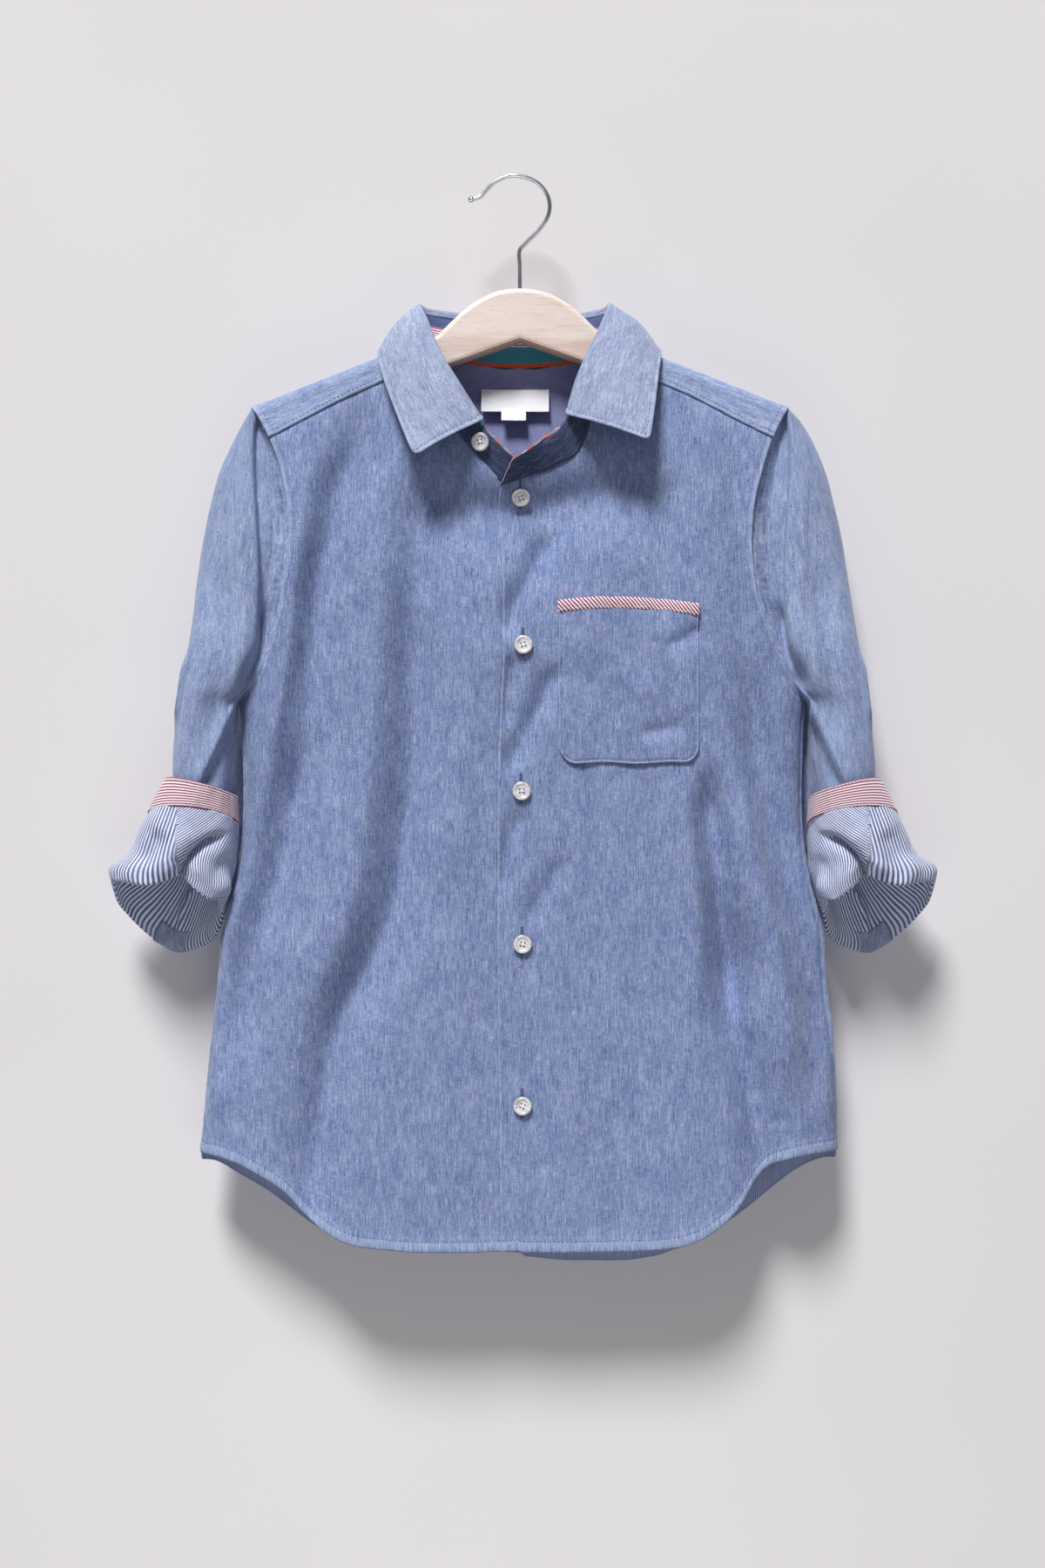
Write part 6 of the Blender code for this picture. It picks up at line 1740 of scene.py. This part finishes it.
def build_collar(finishes):
    outer, normals = band_sheet(STAND_OFF)
    run = np.linspace(0, 300, outer.shape[1])
    up = np.linspace(0, 29, outer.shape[0])[:, None]
    sheet("collar_stand", outer, chart(up, run), normals, [finishes["band"]] * 2)
    inner, normals = band_sheet(-STAND_OFF)
    looks = [finishes["facing"]]
    sheet("stand_facing", inner, chart(run - 150, up), -normals, looks, wall=0.6)
    grid, wear, at_edge, at_end = leaf_grid()
    looks = [finishes["collar"], finishes["leaf_back"]]
    sheet("collar", grid, chart(at_edge, from_edge(grid, "first")), off_neck(grid), looks, wall=1.1, wear=wear)
    normals = facing(grid, off_neck(grid))
    seams = [edge_run((grid, normals, at_edge), LEAF_STITCH, 131, by_rows=False)]
    for half in halves(grid):
        seams.append(edge_run((grid, normals, at_end), LEAF_STITCH, 132, (slice(8, None), half)))
    return seams


def build_pocket(finishes):
    """The pocket and its binding, and the stitches of each."""
    grid, wear, near = pocket_grid()
    looks = [finishes["pocket"], finishes["reverse"]]
    sheet("pocket", grid, upright_chart(grid), FORWARDS, looks, wear=wear)
    cloth = (grid, facing(grid, FORWARDS), near)
    seams = [edge_run(cloth, POCKET_STITCH, 141, (slice(None, -9), half)) for half in halves(grid)]
    seams.append(edge_run(cloth, POCKET_STITCH, 142, slice(20, None), by_rows=False))
    grid, upwards = binding_grid()
    uv = chart(grid[..., 0], upwards[:, None])
    sheet("pocket_binding", grid, uv, FORWARDS, [finishes["binding"]], wall=0.6)
    normals = facing(grid, FORWARDS)
    return seams, [stitch_run(grid[3], normals[3], 2.0, 1.2, seed=143, proud=0.1)]


def build_labels(finishes):
    def curl(x, share):
        ends = np.clip((np.abs(x - 0.5 * (LABEL[0] + LABEL[2])) - 19.0) / 2.0, 0, 1)
        return 1.7 + 0.5 * ends + 3.2 * share + 0.15 * np.sin(x / 3.1)

    def hanging(x, share):
        return 5.0 + 2.6 * share + 0.3 * np.sin(x / 2.3)

    looks = [finishes["label"]]
    grid = label_grid(LABEL, 26, 60, curl)
    uv = upright_chart(grid)
    sheet("label", grid, uv, FORWARDS, looks, "label_cloth_piece", wall=0.45)
    left, top, right, bottom = SIZE_LABEL
    grid = label_grid((left, top - 1.8, right, bottom + 0.6), 14, 24, hanging)
    uv = upright_chart(grid)
    sheet("size_label", grid, uv, FORWARDS, looks, "size_label_piece", wall=0.4)


def build_fastenings(finishes):
    blank = button_mesh()
    draw = np.random.default_rng(5)
    runs = []
    for name, x, down in BUTTONS:
        place, outward = surface(x, down, 0.75, 4.0)
        spin = draw.uniform(-0.5, 0.5)
        place_button(f"{name}_disc", blank, place[0], outward[0], spin, finishes, [name])
        runs.append(buttonhole(x - 0.4, down - 10.4, down + 7.4))
    outer, normals = band_sheet(STAND_OFF, columns=6 * (len(BAND_TOP) - 1) + 1)
    column = round(6 * COLLAR_BUTTON_AT)
    middle = BAND_ROWS // 2
    place, outward = outer[middle, column], normals[middle, column]
    place_button("button_collar_disc", blank, place + 0.45 * outward, outward, 0.2, finishes, ["button_collar"])
    stitches("buttonhole_stitches", runs, finishes["hole_thread"], 0.19)
    # Dark bars along each buttonhole's slit: painted shade in its opening
    slit_shades = []
    for _, x, down in BUTTONS:
        line, lifts = surface(x - 0.4, np.arange(down - 10.2, down + 7.4, 0.8), 0.12)
        slit_shades.append((line[:-1], line[1:], lifts[1:]))
    stitches("buttonhole_slit_shades", slit_shades, finishes["slit"], 0.24)
    tail = catmull(LOOSE_THREAD, 40)
    tail, _ = surface(tail[:, 0], tail[:, 1], 0.5 + 0.5 * np.sin(tail[:, :1]))
    ride(tube("loose_thread", tail, [0.16] * 39 + [0.05], finishes["hole_thread"], 8))
    build_hook(finishes["steel"])


def make_finishes():
    return {
        "body": face_cloth("body_face_cloth"),
        # sleeves and yoke: the face cloth in lighter tones, painted light
        "sleeve": face_cloth("sleeve_lit_face_cloth", 40.0, SLEEVE_AND_YOKE_LIT_TONES),
        "yoke": face_cloth("yoke_lit_face_cloth", 60.0, SLEEVE_AND_YOKE_LIT_TONES),
        # collar band: the face cloth in darker tones, painted shade
        "band": face_cloth("band_shaded_face_cloth", 100.0, BAND_SHADED_TONES),
        # collar leaf and sleeve plackets: the face cloth in lighter tones, painted light
        "collar": face_cloth("collar_lit_face_cloth", 80.0, LEAF_LIT_TONES),
        "pocket": face_cloth("pocket_face_cloth", 120.0),
        "reverse": striped_cloth("reverse_cloth", (176, 190, 222), (104, 122, 166), 1.2),
        "sleeve_reverse": striped_cloth("sleeve_reverse_cloth", (222, 226, 240), (84, 98, 140), 2.2, 9.0),
        "yoke_reverse": striped_cloth("yoke_reverse_cloth", (170, 172, 214), (98, 108, 158), 1.1, 14.0),
        "leaf_back": striped_cloth("leaf_back_cloth", (120, 196, 206), (46, 130, 150), 1.3, 20.0),
        "facing": facing_cloth("band_facing_cloth"),
        "pink": pink_stripes("cuff_stripe_cloth", 2.3, (234, 219, 225), (132, 72, 94)),
        "binding": pink_stripes("binding_cloth", 2.8, (238, 220, 226), (122, 58, 80), lean=1.2),
        "label": label_cloth("woven_label"),
        "shell": shell_finish("button_pearl"),
        "thread": thread_finish("seam_thread", (116, 134, 180), (66, 84, 134)),
        "hole_thread": thread_finish("buttonhole_thread", (140, 158, 200), (84, 104, 156)),
        "white_thread": thread_finish("white_thread", (246, 246, 248), (206, 208, 216)),
        "slit": thread_finish("slit_shadow", (34, 40, 66), (24, 28, 48)),
        "wood": wood_finish("pale_hanger_wood"),
        "steel": steel_finish("bright_steel"),
    }


def plane(name, centre, across, up, finish):
    """A flat quad from its centre and its two half edges."""
    centre, across, up = (np.array(value, dtype=float) for value in (centre, across, up))
    corners = [centre - across - up, centre + across - up, centre + across + up, centre - across + up]
    return add_mesh(name, corners, [(0, 1, 2, 3)], [finish])


def wall_finish():
    """Pale wall: painted on the side towards the room, and clear from behind."""
    finish = Finish("wall_paint", 0.95, Specular_IOR_Level=0.1)
    place = finish.object_place()
    mottle = finish.noise(place, 2.2, 2.2, 3.0, deep=2.2)
    finish.colour(finish.ramp(finish.math("ADD", mottle, 0.5), (0.2, (217, 214, 216)), (0.8, (224, 221, 222))))
    clear = finish.node("ShaderNodeBsdfTransparent")
    behind = finish.node("ShaderNodeNewGeometry").outputs["Backfacing"]
    either = finish.node("ShaderNodeMixShader", {0: behind, 1: finish.shader.outputs[0], 2: clear.outputs[0]})
    output = finish.tree.nodes["Material Output"]
    finish.tree.links.new(either.outputs[0], output.inputs["Surface"])
    return finish.material


def floor_finish():
    finish = Finish("floor_paint", 0.9, Specular_IOR_Level=0.1)
    finish.colour(linear((224, 222, 223)))
    return finish.material


def area_light(name, place, target, size, power):
    data = bpy.data.lights.new(name, "AREA")
    data.shape = "DISK"
    data.size = size
    data.energy = power
    thing = add_object(name, data)
    thing.location = place
    thing.rotation_euler = (Vector(target) - Vector(place)).to_track_quat("-Z", "Y").to_euler()


def build_room():
    camera = bpy.data.cameras.new("camera")
    camera.lens = LENS
    camera.sensor_width = SENSOR_WIDTH
    camera.clip_start = 0.01
    holder = add_object("camera", camera)
    holder.location = CAMERA_AT
    holder.rotation_euler = (math.pi / 2, 0, 0)
    bpy.context.scene.camera = holder
    wall = plane("wall", (0, WALL_Y, 0.5), (4, 0, 0), (0, 0, 3.0), wall_finish())
    wall.visible_shadow = False
    floor = plane("floor", (0, 0, FLOOR_Z), (6, 0, 0), (0, 6, 0), floor_finish())
    floor.visible_diffuse = False
    for light in LIGHTS:
        area_light(*light)
    world = bpy.data.worlds.new("studio")
    world.use_nodes = True
    background = world.node_tree.nodes["Background"]
    background.inputs["Color"].default_value = linear((236, 236, 240))
    background.inputs["Strength"].default_value = WORLD_LIGHT
    bpy.context.scene.world = world
    bpy.context.scene.view_settings.view_transform = "Standard"


build_room()
FINISHES = make_finishes()
SEAMS = build_body(FINISHES) + build_collar(FINISHES)
CUFF_SEAMS = build_sleeves(FINISHES)
POCKET_SEAMS, WHITE_SEAMS = build_pocket(FINISHES)
build_labels(FINISHES)
stitches("seam_stitches", SEAMS + POCKET_SEAMS, FINISHES["thread"])
stitches("cuff_stitches", CUFF_SEAMS, FINISHES["white_thread"])
stitches("binding_stitches", WHITE_SEAMS, FINISHES["white_thread"])
build_fastenings(FINISHES)
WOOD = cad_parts["hanger_wood"]
for place in WOOD.material_slots:
    place.material = FINISHES["wood"]
